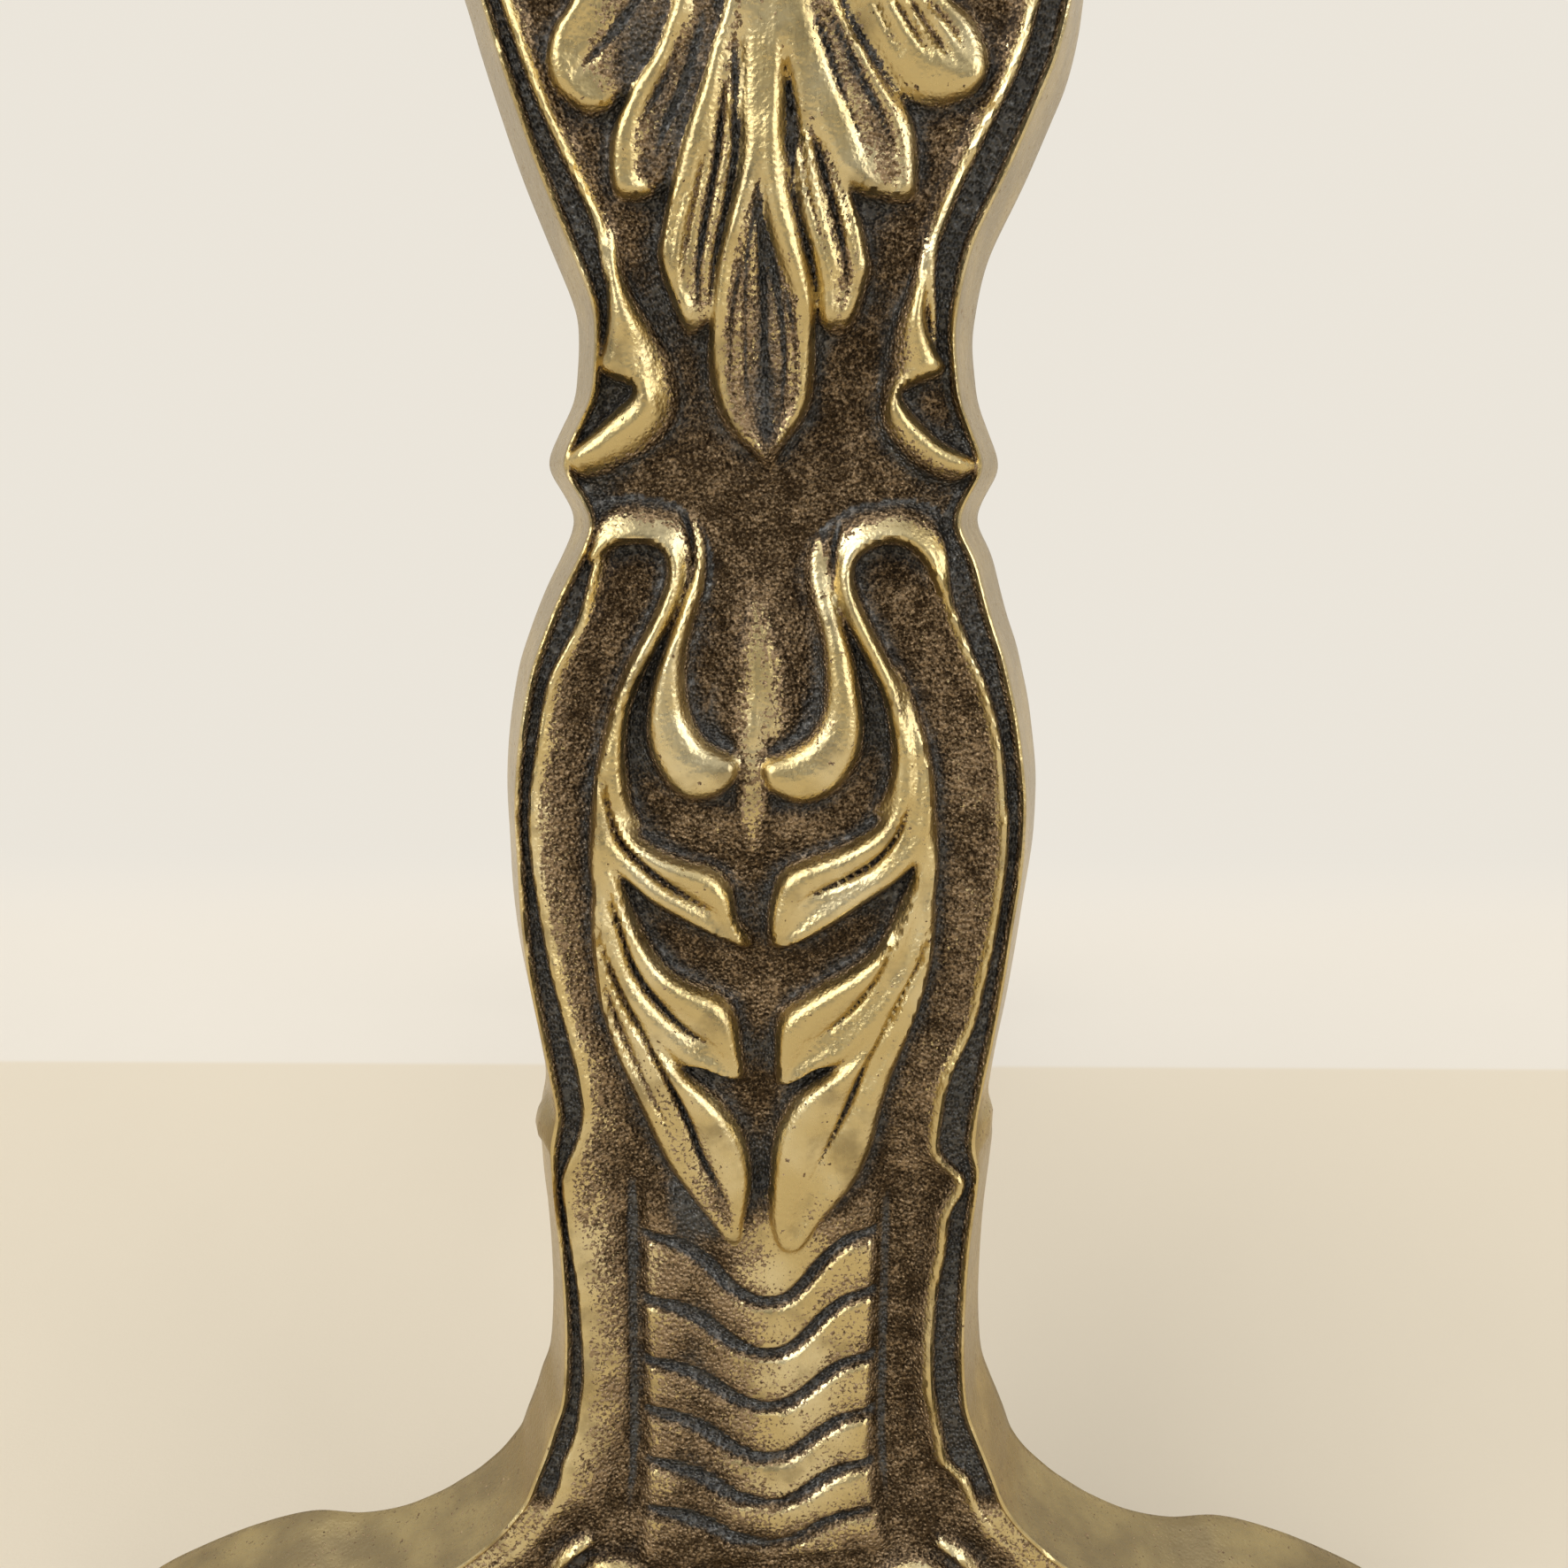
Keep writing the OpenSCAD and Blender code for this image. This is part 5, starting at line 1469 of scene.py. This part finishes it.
@dataclass
class BrassFront:
    """The carved brass front: one hollow-backed casting with two bosses behind its face.

    The heaps swell out of its sunk field, and the patches are brighter or darker than the rest. Each is an
    oval: its middle, how far it reaches, and its height or its tone. The casting is solid above the first
    of the solid_past numbers and further out than the second. The tab on each side has a level, half a
    height and a rise.
    """

    material: Material
    rim_y: float = -199.75
    back_y: float = -177.75
    front_y: float = -201.25
    field_depth: float = 3.5
    wall: float = 5.0
    draft: float = 5.0
    apron_top: float = 16.95
    foot_top: float = 60.0
    solid_past: Pair = (374.0, 122.0)
    tab: Triple = (121.5, 3.4, 2.2)
    columns: tuple[int, int] = (60, 16)
    dense_from: float = 0.86
    boss_levels: Pair = (66.0, 122.0)
    boss_diameter: float = 19.0
    bow: Line = (
        (34, 0), (60, 2.5), (104, 2.5), (132, 0.5), (178, 0), (206, 1.75), (226, 4.75), (244, 4.75),
        (270, 1.75), (306, 0),
    )
    spacing: Line = ((0, 1.18), (38, 1.18), (46, 0.728), (302, 0.728), (312, 1.18), (380, 1.25))
    heaps: tuple[tuple, ...] = (
        ((0, 231), (26, 7.5), 1.1), ((-16, 234), (8, 4), 0.3), ((16, 234), (8, 4), 0.3),
        ((-21, 240), (9, 12), 0.5), ((22, 240), (9, 12), 0.5), ((-1, 203), (7, 14), 0.8),
        ((-9, 176), (9, 5), 0.6), ((8, 175), (9, 5), 0.6),
    )
    patches: tuple[tuple, ...] = (
        ((-11, 107.5), (10, 5), -0.35), ((13, 107), (8, 5), -0.4), ((0, 103), (6, 3), 0.2),
        ((-13, 116), (7, 14), -0.2), ((-20, 262), (9, 9), -0.1), ((20, 262), (9, 10), -0.1),
        ((-29, 195), (6, 22), -0.15), ((0, 245), (10, 7), -0.12), ((0, 232), (26, 9), -0.4),
        ((-1, 198), (5, 16), 0.24), ((-9.5, 201), (3.5, 11), -0.25), ((8.5, 201), (3.5, 11), -0.25),
    )
    outline: Outline = field(default_factory=Outline)
    rims: DoubleRim = field(default_factory=DoubleRim)
    relief: Relief = field(default_factory=Relief)

    def carve(self) -> None:
        """Carves the rims and every ornament into the relief, between its heaps and its patches."""
        for centre, size, rise in self.heaps:
            self.relief.heap(centre, size, rise)
        ornaments = (crest_palmette(), hanging_leaf(), waist_hooks(), cartouche(), belly_leaf(),
                     shaft_bands(), foot_volutes())
        for ornament in ornaments:
            ornament.raise_forms(self.relief)
            LOG.info("raised %s", ornament.name)
        self.relief.soften(0.42)
        for side in Side:
            self.rims.carve(self.relief, self.outline, side)
            self.rims.bead(self.relief, self.outline, side)
        for ornament in ornaments:
            ornament.cut_grooves(self.relief)
        for centre, size, tone in self.patches:
            self.relief.shade(centre, size, tone)
        self.relief.settle()

    def rim_at(self, up: np.ndarray) -> np.ndarray:
        """Returns the depth of the rims at a level."""
        return self.rim_y + table(up, self.bow)

    def _half(self, side: Side) -> dict[str, np.ndarray]:
        """Lays the points of one half, row by row.

        Args:
            side: Which half.

        Returns:
            The points, with the polish, crevice and zone of each, and whether each row is low, which
            means that it ends at the underside.
        """
        rows = self.outline.rows(side, self.spacing)
        rim, inner, low = rows["rim"], rows["inner"], rows["low"]
        share = np.concatenate([np.linspace(0, self.dense_from, self.columns[0]),
                                np.linspace(self.dense_from, 1, self.columns[1])[1:]])
        face = inner[:, None] + (rim - inner)[:, None] * share[None, :, None]
        height = self.relief.read(self.relief.height, face)
        y = self.rim_at(face[..., 1]) + self.field_depth - height
        y = np.maximum(y, self.front_y)
        y[:, -1] = self.rim_at(rim[:, 1]) + 0.3
        width = np.linalg.norm(rim - inner, axis=1)
        run = (rim - inner) / width[:, None]
        thick = np.minimum(self.wall, width * 0.3)
        out = np.column_stack([np.cos(rows["lean"]) * side.value, np.sin(rows["lean"])])
        rising = run + np.array([0, 1.0])
        rising /= np.linalg.norm(rising, axis=1)[:, None]
        above = inner[:, 1] > self.apron_top
        near = (rows["up"] < self.foot_top) & ~low
        walled = low | (near & ~above)
        full = np.abs(inner[:, 1] - self.apron_top) / np.where(above, 8.0, 4.4)
        thick_in = np.where(near, thick * np.clip(full, 0.03, 1), thick)
        inward = np.where(walled[:, None], rising, run)
        solid = (rows["up"] > self.solid_past[0]) | (np.abs(rim[:, 0]) > self.solid_past[1])
        rim_depth = self.rim_at(rim[:, 1])
        columns, depths, zones = [], [], []

        def add(place: np.ndarray, depth: np.ndarray | float, zone: Zone) -> None:
            """Adds one column of points behind the face.

            Args:
                place: How far across and up each point lies.
                depth: How deep it lies.
                zone: What surface it is on.
            """
            columns.append(place)
            depths.append(np.broadcast_to(np.asarray(depth, float), (len(rim),)))
            zones.append(zone.value)

        level, half, rise = self.tab
        tab = rise * np.exp(-(((rows["up"] - level) / half) ** 4)) * (np.abs(rim[:, 0]) < 45)
        for part in (0.035, 0.12, 0.3, 0.5, 0.7, 0.86, 0.97):
            swell = tab * math.sin(math.pi * min(1.0, part * 1.25)) if part < 0.8 else 0 * tab
            depth = rim_depth + (self.back_y - rim_depth) * part
            add(rim + out * (self.draft * part + swell)[:, None], depth, Zone.WALL)
        back = rim + self.draft * out
        add(back - out * 0.5, self.back_y, Zone.BACK)
        add(back - out * (thick - 0.4)[:, None], self.back_y, Zone.BACK)
        add(back - out * thick[:, None], np.where(solid, self.back_y, self.back_y - 0.5), Zone.BACK)
        floor_out, floor_in = rim - run * thick[:, None], inner + inward * thick_in[:, None]
        for part in (1.0, 0.7, 0.4, 0.12):
            place = floor_in + (floor_out - floor_in) * part
            depth = self.rim_at(place[:, 1]) + self.field_depth + self.wall
            add(place, np.where(solid, self.back_y, depth), Zone.BACK)
        floor = self.rim_at(floor_in[:, 1]) + self.field_depth + self.wall
        add(floor_in, np.where(solid, self.back_y, floor), Zone.BACK)
        add(floor_in, np.where(walled | solid, self.back_y, floor), Zone.BACK)
        add(inner, np.where(walled | solid, self.back_y, floor), Zone.BACK)
        for part in (0.7, 0.35):
            front = y[:, 0]
            add(inner, front + (self.back_y - front) * part, Zone.WALL)
        flat = np.stack(columns, axis=1)
        place = np.concatenate([face, flat], axis=1)
        depth = np.concatenate([y, np.stack(depths, axis=1)], axis=1)
        polish = self.relief.read(self.relief.polish, face)
        polish[:, -2:] = np.maximum(polish[:, -2:], 0.35)
        crevice = self.relief.read(self.relief.crevice, face)
        walls = np.array(zones)[None, :]
        size = (len(rim), len(zones))
        return {
            "points": np.stack([place[..., 0], depth, place[..., 1]], axis=-1),
            "polish": np.concatenate([polish, np.full(size, 0.34)], axis=1),
            "crevice": np.concatenate([crevice, np.zeros(size)], axis=1),
            "zone": np.concatenate([np.full_like(polish, Zone.FACE.value), np.broadcast_to(walls, size)], 1),
            "low": low,
        }

    def _faces(self, half: dict[str, np.ndarray], ids: np.ndarray, flip: bool) -> list[tuple[int, ...]]:
        """Joins the points of one half into faces.

        Args:
            half: The half's points.
            ids: The number of each point.
            flip: Whether the faces are turned round.

        Returns:
            The faces.
        """
        rows, size = ids.shape
        low = half["low"]
        faces = []
        for i in range(rows - 1):
            wrap = bool(low[i + 1])
            for k in range(size if wrap else size - 3):
                n = (k + 1) % size
                loop = [ids[i, k], ids[i, n], ids[i + 1, n], ids[i + 1, k]]
                loop = [int(v) for m, v in enumerate(loop) if v != loop[m - 1]]
                if len(set(loop)) < 3:
                    continue
                faces.append(tuple(loop[::-1] if flip else loop))
        end = [int(v) for v in ids[-1]]
        faces.append(tuple(end if flip else end[::-1]))
        return faces

    def _number(self, half: dict[str, np.ndarray], start: int) -> np.ndarray:
        """Numbers the points of one half.

        Args:
            half: The half's points.
            start: The first number.

        Returns:
            The numbers, with one number for points that fall together.
        """
        rows, size = half["polish"].shape
        ids = start + np.arange(rows * size).reshape(rows, size)
        points = half["points"]
        for i in range(rows):
            for k in range(sum(self.columns) - 1, size):
                if np.abs(points[i, k] - points[i, k - 1]).max() < 1e-6:
                    ids[i, k] = ids[i, k - 1]
        if not half["low"][0]:
            middle = ~half["low"]
            ids[middle, size - 2] = ids[middle, size - 3]
            ids[middle, size - 1] = ids[middle, size - 3]
        return ids

    def build(self) -> Thing:
        """Builds the casting's mesh from both halves, its top and its bosses, and dresses it.

        Returns:
            The front.
        """
        self.carve()
        right, left = self._half(Side.RIGHT), self._half(Side.LEFT)
        count = right["polish"].size
        ids_right, ids_left = self._number(right, 0), self._number(left, count)
        middle = ~right["low"]
        ids_left[middle, 0] = ids_right[middle, 0]
        size = ids_left.shape[1]
        for column in (size - 3, size - 2, size - 1):
            ids_left[middle, column] = ids_right[middle, column]
        faces = self._faces(right, ids_right, False) + self._faces(left, ids_left, True)
        ring_right = [int(v) for v in dict.fromkeys(ids_right[0].tolist())]
        ring_left = [int(v) for v in dict.fromkeys(ids_left[0].tolist()) if v not in ring_right]
        top = ring_right[:1] + ring_left + ring_right[1:][::-1]
        faces.append(tuple(top))
        verts = np.concatenate([right["points"].reshape(-1, 3), left["points"].reshape(-1, 3)])
        values = {
            name: np.concatenate([right[name].reshape(-1), left[name].reshape(-1)])
            for name in ("polish", "crevice", "zone")
        }
        used = np.unique(np.array([v for face in faces for v in face]))
        renumber = np.zeros(len(verts), int)
        renumber[used] = np.arange(len(used))
        faces = [tuple(int(renumber[v]) for v in face) for face in faces]
        verts = verts[used]
        values = {name: list(v[used]) for name, v in values.items()}
        if signed_volume(verts, faces) < 0:
            faces = [face[::-1] for face in faces]
        made = list(verts)
        for level in self.boss_levels:
            self._boss(made, faces, values, level)
        piece = mesh_object("brass_front", np.array(made), faces, 50)
        for name, data in values.items():
            layer = piece.data.attributes.new(name, "FLOAT", "POINT")
            layer.data.foreach_set("value", np.array(data, np.float32))
        piece.data.materials.append(self.material)
        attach(piece, "root")
        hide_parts("front_casting")
        return piece

    def _boss(self, verts: list, faces: list, values: dict[str, list], level: float) -> None:
        """Adds one boss, which stands on the floor of the hollow.

        Args:
            verts: Points so far.
            faces: Faces so far.
            values: The values carried by the points so far.
            level: The boss's height above the hearth.
        """
        floor = float(self.rim_at(np.array(level))) + self.field_depth + self.wall
        edge = self.boss_diameter / 2
        rings = ((edge + 2.5, floor - 0.8), (edge + 1.1, floor + 0.2), (edge + 0.3, floor + 1.2),
                 (edge, floor + 3), (edge, self.back_y - 0.5), (edge - 0.4, self.back_y))
        before = len(verts)
        Skin([[(radius * c, depth, level + radius * s) for c, s in circle(40)] for radius, depth in rings],
             turned=True).add_to(verts, faces)
        for name, value in (("polish", 0.0), ("crevice", 0.0), ("zone", Zone.BACK.value)):
            values[name] += [value] * (len(verts) - before)


# ---- The iron ----


@dataclass(frozen=True)
class Turned:
    """A turned or hammered round form along Y, drawn as (radius, depth) pairs from front to rear."""

    profile: Line
    level: float
    count: int = 40
    waver: float = 0.0
    seed: int = 1

    def skin(self) -> Skin:
        """Lays its rings.

        Returns:
            Its skin.
        """
        rings = []
        for radius, depth in self.profile:
            ring = []
            for c, s in circle(self.count):
                spot = Vector((c * 1.3 + self.seed, depth * 0.35, s * 1.3))
                r = radius - self.waver * (0.5 + 0.5 * noise.noise(spot))
                ring.append((r * c, depth, self.level + r * s))
            rings.append(ring)
        return Skin(rings, turned=True)


@dataclass(frozen=True)
class Forged:
    """A forged bar along Y: rings of a rounded rectangle, dented by the hammer, that stay inside a box."""

    box: tuple[Place, Place]
    round: float = 1.6
    waver: float = 0.35
    step: float = 3.0
    seed: int = 1

    def skin(self) -> Skin:
        """Lays its rings.

        Returns:
            Its skin.
        """
        (x0, y0, z0), (x1, y1, z1) = self.box
        half, tall = (x1 - x0) / 2, (z1 - z0) / 2
        cx, cz = (x0 + x1) / 2, (z0 + z1) / 2
        parts = tuple(max(3, int(2 * (side - self.round) / 3)) for side in (half, tall))
        section = rounded_section((half, tall), self.round, parts)
        long, lip = y1 - y0, min(0.4 * self.round, 0.5)
        rows = max(4, int(long / self.step))
        flat = [self.round + (long - 2 * self.round) * k / rows for k in range(rows + 1)]
        cuts = [0, lip, *flat, long - lip, long]
        rings = []
        for row, cut in enumerate(cuts):
            edge = min(row, len(cuts) - 1 - row)
            inset = {0: self.round * 0.75, 1: self.round * 0.35}.get(edge, 0.0)
            ring = []
            for x, z in section:
                spot = (x * 0.11 + self.seed * 7.3, (y0 + cut) * 0.075, z * 0.11)
                dent = max(0.0, min(hammered(spot, self.waver), self.waver * 1.4))
                across = x * (1 - inset / half) * (1 - dent / half)
                up = z * (1 - inset / tall) * (1 - dent / tall)
                ring.append((cx + across, y0 + cut, cz + up))
            rings.append(ring)
        return Skin(rings)


def iron_piece(name: str, node: str, material: Material, skins: list[Skin]) -> Thing:
    """Makes one iron piece that stands for a node of the part.

    Args:
        name: The piece's name.
        node: The node it replaces.
        material: Its finish.
        skins: The skins it is made of.

    Returns:
        The piece.
    """
    verts, faces = [], []
    for skin in skins:
        skin.add_to(verts, faces)
    piece = mesh_object(name, np.array(verts, float), faces, 40)
    piece.data.materials.append(material)
    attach(piece, "root")
    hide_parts(node)
    return piece


@dataclass
class IronWork:
    """The iron behind the front: the plate, its studs, washers and nuts, the log bar and the rear leg."""

    forged: Material
    black: Material
    back_y: float = -177.75
    bar_start: float = -171.75
    bar_end: float = 188.25
    bar_side: float = 20.0
    bar_top: float = 104.0
    plate: Pair = (38.0, 84.0)
    tenon: float = 13.0
    head: Pair = (22.0, 4.0)
    leg: Triple = (20.0, 9.0, 134.0)
    leg_round: float = 1.3
    stop_width: float = 13.0
    stud_levels: Pair = (66.0, 122.0)
    stud_diameter: float = 10.0
    stud_from: float = -189.75
    washer: Pair = (22.0, 2.0)
    nut: Pair = (17.0, 8.0)
    stud_end: float = 3.0
    pitch: float = 1.25

    def _block(self, size: Pair, run: Pair) -> tuple[Place, Place]:
        """Returns a box round the bar's middle line, of a width and height, from one depth to another."""
        middle = self.bar_top - self.bar_side / 2
        return (-size[0] / 2, run[0], middle - size[1] / 2), (size[0] / 2, run[1], middle + size[1] / 2)

    def _plate(self) -> list[Skin]:
        """Returns the mounting plate's skin."""
        box = self._block(self.plate, (self.back_y, self.bar_start))
        return [Forged(box, round=1.4, waver=0.25, step=1.5, seed=2).skin()]

    def _head(self, start: float, way: int, seed: int) -> Skin:
        """Draws a peened head that grows out of the iron it holds.

        Args:
            start: The depth it starts at.
            way: The sign of the way it stands out along Y.
            seed: Start of its hammer marks.

        Returns:
            Its skin.
        """
        wide, thick = self.head[0] / 2, self.head[1]
        shape = ((0.99, 0.0), (1.0, 0.12), (0.97, 0.4), (0.88, 0.7), (0.72, 0.9), (0.5, 0.98), (0.2, 1.0))
        profile = [(wide * r, start + way * thick * d) for r, d in shape]
        level = self.bar_top - self.bar_side / 2
        return Turned(profile[::way], level, count=36, waver=0.7, seed=seed).skin()

    def _bar(self) -> list[Skin]:
        """Draws the log bar with its tenons and their peened heads.

        Returns:
            Their skins.
        """
        side, rear = self.bar_side, self.bar_end + self.leg[1]
        bar = self._block((side, side), (self.bar_start, self.bar_end))
        skins = [Forged(bar, round=1.7, waver=0.45, step=4.0, seed=5).skin()]
        for run in ((self.back_y - 0.5, self.bar_start + 1), (self.bar_end - 1, rear + 0.5)):
            tenon = self._block((self.tenon, self.tenon), run)
            skins.append(Forged(tenon, round=0.8, waver=0.1, step=3.0, seed=8).skin())
        return [*skins, self._head(self.back_y, -1, 3), self._head(rear, 1, 6)]

    def _leg(self) -> list[Skin]:
        """Draws the rear leg, which narrows above the bar into the log stop.

        Returns:
            Its skin.
        """
        wide, thick, tall = self.leg
        half, count, stop = wide / 2, 44, self.stop_width / wide
        narrow = ((0, 1), (self.bar_top + 2, 1), (tall - 2, stop), (tall, stop * 0.7))
        levels = [0.0, 0.7] + [2 + (tall - 4) * k / count for k in range(count + 1)] + [tall - 0.8, tall]
        section = rounded_section((half, thick / 2), self.leg_round, (4, 4))
        rings = []
        for row, up in enumerate(levels):
            edge = min(row, len(levels) - 1 - row)
            inset = {0: 0.9, 1: 0.3}.get(edge, 0.0)
            ring = []
            for x, y in section:
                dent = max(0.0, hammered((x * 0.12 + 4.1, y * 0.2, up * 0.06), 0.4))
                px = x * (1 - (inset + dent) / half) * float(table(up, narrow))
                py = y * (1 - (inset + dent * 0.6) / (thick / 2))
                ring.append((px, self.bar_end + thick / 2 + py, up))
            rings.append(ring)
        return [Skin(rings)]

    def _stud(self, level: float) -> list[Skin]:
        """Draws a stud, with thread on the end that shows.

        Args:
            level: Its height above the hearth.

        Returns:
            Its skin.
        """
        radius = self.stud_diameter / 2
        stop = self.bar_start + self.washer[1] + self.nut[1] + self.stud_end
        y = self.bar_start + 1
        profile = [(radius * 0.8, self.stud_from), (radius, self.stud_from + 1), (radius, y)]
        while y < stop - 1.6:
            profile += [(radius - 0.62, y + self.pitch * 0.5), (radius, y + self.pitch * 0.95)]
            y += self.pitch
        profile += [(radius - 0.3, stop - 0.7), (radius - 1.3, stop), (0.6, stop)]
        return [Turned(profile, level, count=32).skin()]

    def _washer(self, level: float) -> list[Skin]:
        """Draws a washer with an uneven rim.

        Args:
            level: Its height above the hearth.

        Returns:
            Its skin.
        """
        rim, start, inner = self.washer[0] / 2, self.bar_start, self.stud_diameter / 2 + 0.2
        stop = start + self.washer[1]
        profile = ((inner, start), (rim - 0.5, start), (rim, start + 0.5), (rim - 0.1, stop - 0.5),
                   (rim - 0.7, stop), (inner, stop))
        rings = []
        for radius, y in profile:
            ring = []
            for c, s in circle(44):
                waver = 0.12 * (1 + noise.noise(Vector((c * 2, level, s * 2))))
                r = radius - (waver if radius > inner else 0)
                ring.append((r * c, y, level + r * s))
            rings.append(ring)
        return [Skin(rings, turned=True, bore=True)]

    def _nut(self, level: float) -> list[Skin]:
        """Draws a square nut, whose rear corners are turned off.

        Args:
            level: Its height above the hearth.

        Returns:
            Its skin.
        """
        side, thick = self.nut
        start, bore = self.bar_start + self.washer[1], self.stud_diameter / 2
        half, turned = side / 2, side * 1.16 / 2
        rows = [(0.0, 0.35, side), (0.5, 0.0, side), (0.55 * thick, 0.0, side)]
        rows += [(thick * s, 0.0, turned + (thick * (1 - s)) * 0.55) for s in (0.72, 0.84, 0.94)]
        rows += [(thick, 0.35, turned - 0.3), (thick, 0.0, bore + 0.9), (thick - 0.7, 0.0, bore + 0.15)]
        rings = []
        for depth, inset, limit in rows:
            ring = []
            for c, s in circle(64):
                r = min((half - inset) / max(abs(c), abs(s)), limit, half * 1.36)
                ring.append((r * c, start + depth, level + r * s))
            rings.append(ring)
        return [Skin(rings, turned=True)]

    def build(self) -> list[Thing]:
        """Builds and dresses every iron piece.

        Returns:
            The pieces.
        """
        forged, black = (self.forged, "forged_iron"), (self.black, "iron_fastener")
        plan = [("iron_plate", "mounting_plate", forged, self._plate()),
                ("iron_log_bar", "log_bar", forged, self._bar()),
                ("iron_rear_leg", "rear_leg", forged, self._leg())]
        for place, level in zip(("lower", "upper"), self.stud_levels):
            plan += [(f"iron_{place}_stud", f"{place}_stud", black, self._stud(level)),
                     (f"iron_{place}_washer", f"{place}_washer", black, self._washer(level)),
                     (f"iron_{place}_nut", f"{place}_nut", black, self._nut(level))]
        return [iron_piece(name, node, finish, skins) for name, node, (finish, slot), skins in plan]


# ---- The stage ----


@dataclass
class Studio:
    """Pale floor, soft lights and the camera. The camera's and the lamps' places are in metres."""

    floor_material: Material
    floor_z: float = -0.05
    focus: Place = (0.0, -0.19975, 0.19)
    camera_at: Place = (0.0028, -0.44975, 0.235)
    pitch: float = 11.5
    roll: float = 0.3
    lens: float = 36.0
    lamps: tuple[tuple, ...] = (
        ("window", (-2.0, -1.6, 1.9), 50.0, 1.68, (1.0, 0.98, 0.95)),
        ("fill", (2.2, -1.4, 1.25), 45.0, 1.15, (1.0, 0.98, 0.955)),
        ("top", (0.0, -0.1, 3.0), 50.0, 0.19, (1.0, 0.985, 0.965)),
    )
    low_sky: Colour = (0.30, 0.295, 0.29)
    high_sky: Colour = (0.76, 0.755, 0.745)
    wall: Colour = (0.83, 0.785, 0.705)

    def _floor(self) -> Thing:
        """Builds the floor, a wide sheet just under the feet, whose middle is finer.

        Returns:
            The floor.
        """
        marks = [-6000, -3000, -1500, *range(-900, 901, 60), 1500, 3000, 6000]
        verts = [(x, y, self.floor_z) for y in marks for x in marks]
        size = len(marks)
        faces = [(r * size + k, r * size + k + 1, (r + 1) * size + k + 1, (r + 1) * size + k)
                 for r in range(size - 1) for k in range(size - 1)]
        floor = mesh_object("pale_floor", np.array(verts, float), faces)
        floor.data.materials.append(self.floor_material)
        return floor

    def _lamp(self, name: str, place: Place, angle: float, strength: float, colour: Colour) -> None:
        """Adds a wide, soft lamp that shines evenly on the front and the floor round it.

        Args:
            name: The lamp's name.
            place: A point it shines from, in metres.
            angle: How wide it looks, in degrees.
            strength: Its strength.
            colour: Its colour.
        """
        data = bpy.data.lights.new(name, "SUN")
        data.angle, data.energy, data.color = math.radians(angle), strength, colour
        lamp = bpy.data.objects.new(name, data)
        lamp.location = place
        lamp.rotation_mode = "QUATERNION"
        lamp.rotation_quaternion = (Vector(self.focus) - Vector(place)).to_track_quat("-Z", "Y")
        bpy.context.scene.collection.objects.link(lamp)

    def _room(self) -> bpy.types.World:
        """Builds the world: an off-white wall behind the object, and a plain room that is lighter above.

        Returns:
            The world.
        """
        world = bpy.data.worlds.new("soft_room")
        world.use_nodes = True
        tree = world.node_tree
        place = tree.nodes.new("ShaderNodeTexCoord")
        split = tree.nodes.new("ShaderNodeSeparateXYZ")
        tree.links.new(place.outputs["Generated"], split.inputs[0])
        source = tree.nodes["Background"].inputs[0]
        source.default_value = (*self.low_sky, 1)
        last = None
        for axis, low, high, colour in (("Z", 0.0, 0.95, self.high_sky), ("Y", 0.15, 0.6, self.wall)):
            share = tree.nodes.new("ShaderNodeMapRange")
            share.interpolation_type = "SMOOTHSTEP"
            share.inputs["From Min"].default_value, share.inputs["From Max"].default_value = low, high
            tree.links.new(split.outputs[axis], share.inputs["Value"])
            mix = tree.nodes.new("ShaderNodeMix")
            mix.data_type = "RGBA"
            tree.links.new(share.outputs["Result"], mix.inputs[0])
            if last is None:
                mix.inputs[6].default_value = (*self.low_sky, 1)
            else:
                tree.links.new(last, mix.inputs[6])
            mix.inputs[7].default_value = (*colour, 1)
            last = mix.outputs[2]
        tree.links.new(last, source)
        return world

    def build(self) -> None:
        """Builds the floor, the world, the lamps and the camera."""
        self._floor()
        bpy.context.scene.world = self._room()
        for lamp in self.lamps:
            self._lamp(*lamp)
        data = bpy.data.cameras.new("camera")
        data.lens, data.sensor_width, data.clip_start, data.clip_end = self.lens, 36.0, 0.01, 50
        camera = bpy.data.objects.new("camera", data)
        camera.location = self.camera_at
        camera.rotation_mode = "QUATERNION"
        pitch = math.radians(self.pitch)
        way = Vector((0, math.cos(pitch), -math.sin(pitch)))
        tilt = Quaternion(way, math.radians(-self.roll))
        camera.rotation_quaternion = tilt @ way.to_track_quat("-Z", "Y")
        bpy.context.scene.collection.objects.link(camera)
        bpy.context.scene.camera = camera
        bpy.context.scene.view_settings.view_transform = "Standard"


def main() -> None:
    logging.basicConfig(level=logging.INFO, format="%(name)s: %(message)s")
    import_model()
    front = BrassFront(PatinatedBrass().make()).build()
    LOG.info("built %s, %d faces", front.name, len(front.data.polygons))
    for piece in IronWork(RustedIron().make(), BlackenedIron().make()).build():
        LOG.info("built %s, %d faces", piece.name, len(piece.data.polygons))
    Studio(PaleFloor().make()).build()


if __name__ == "__main__":
    main()
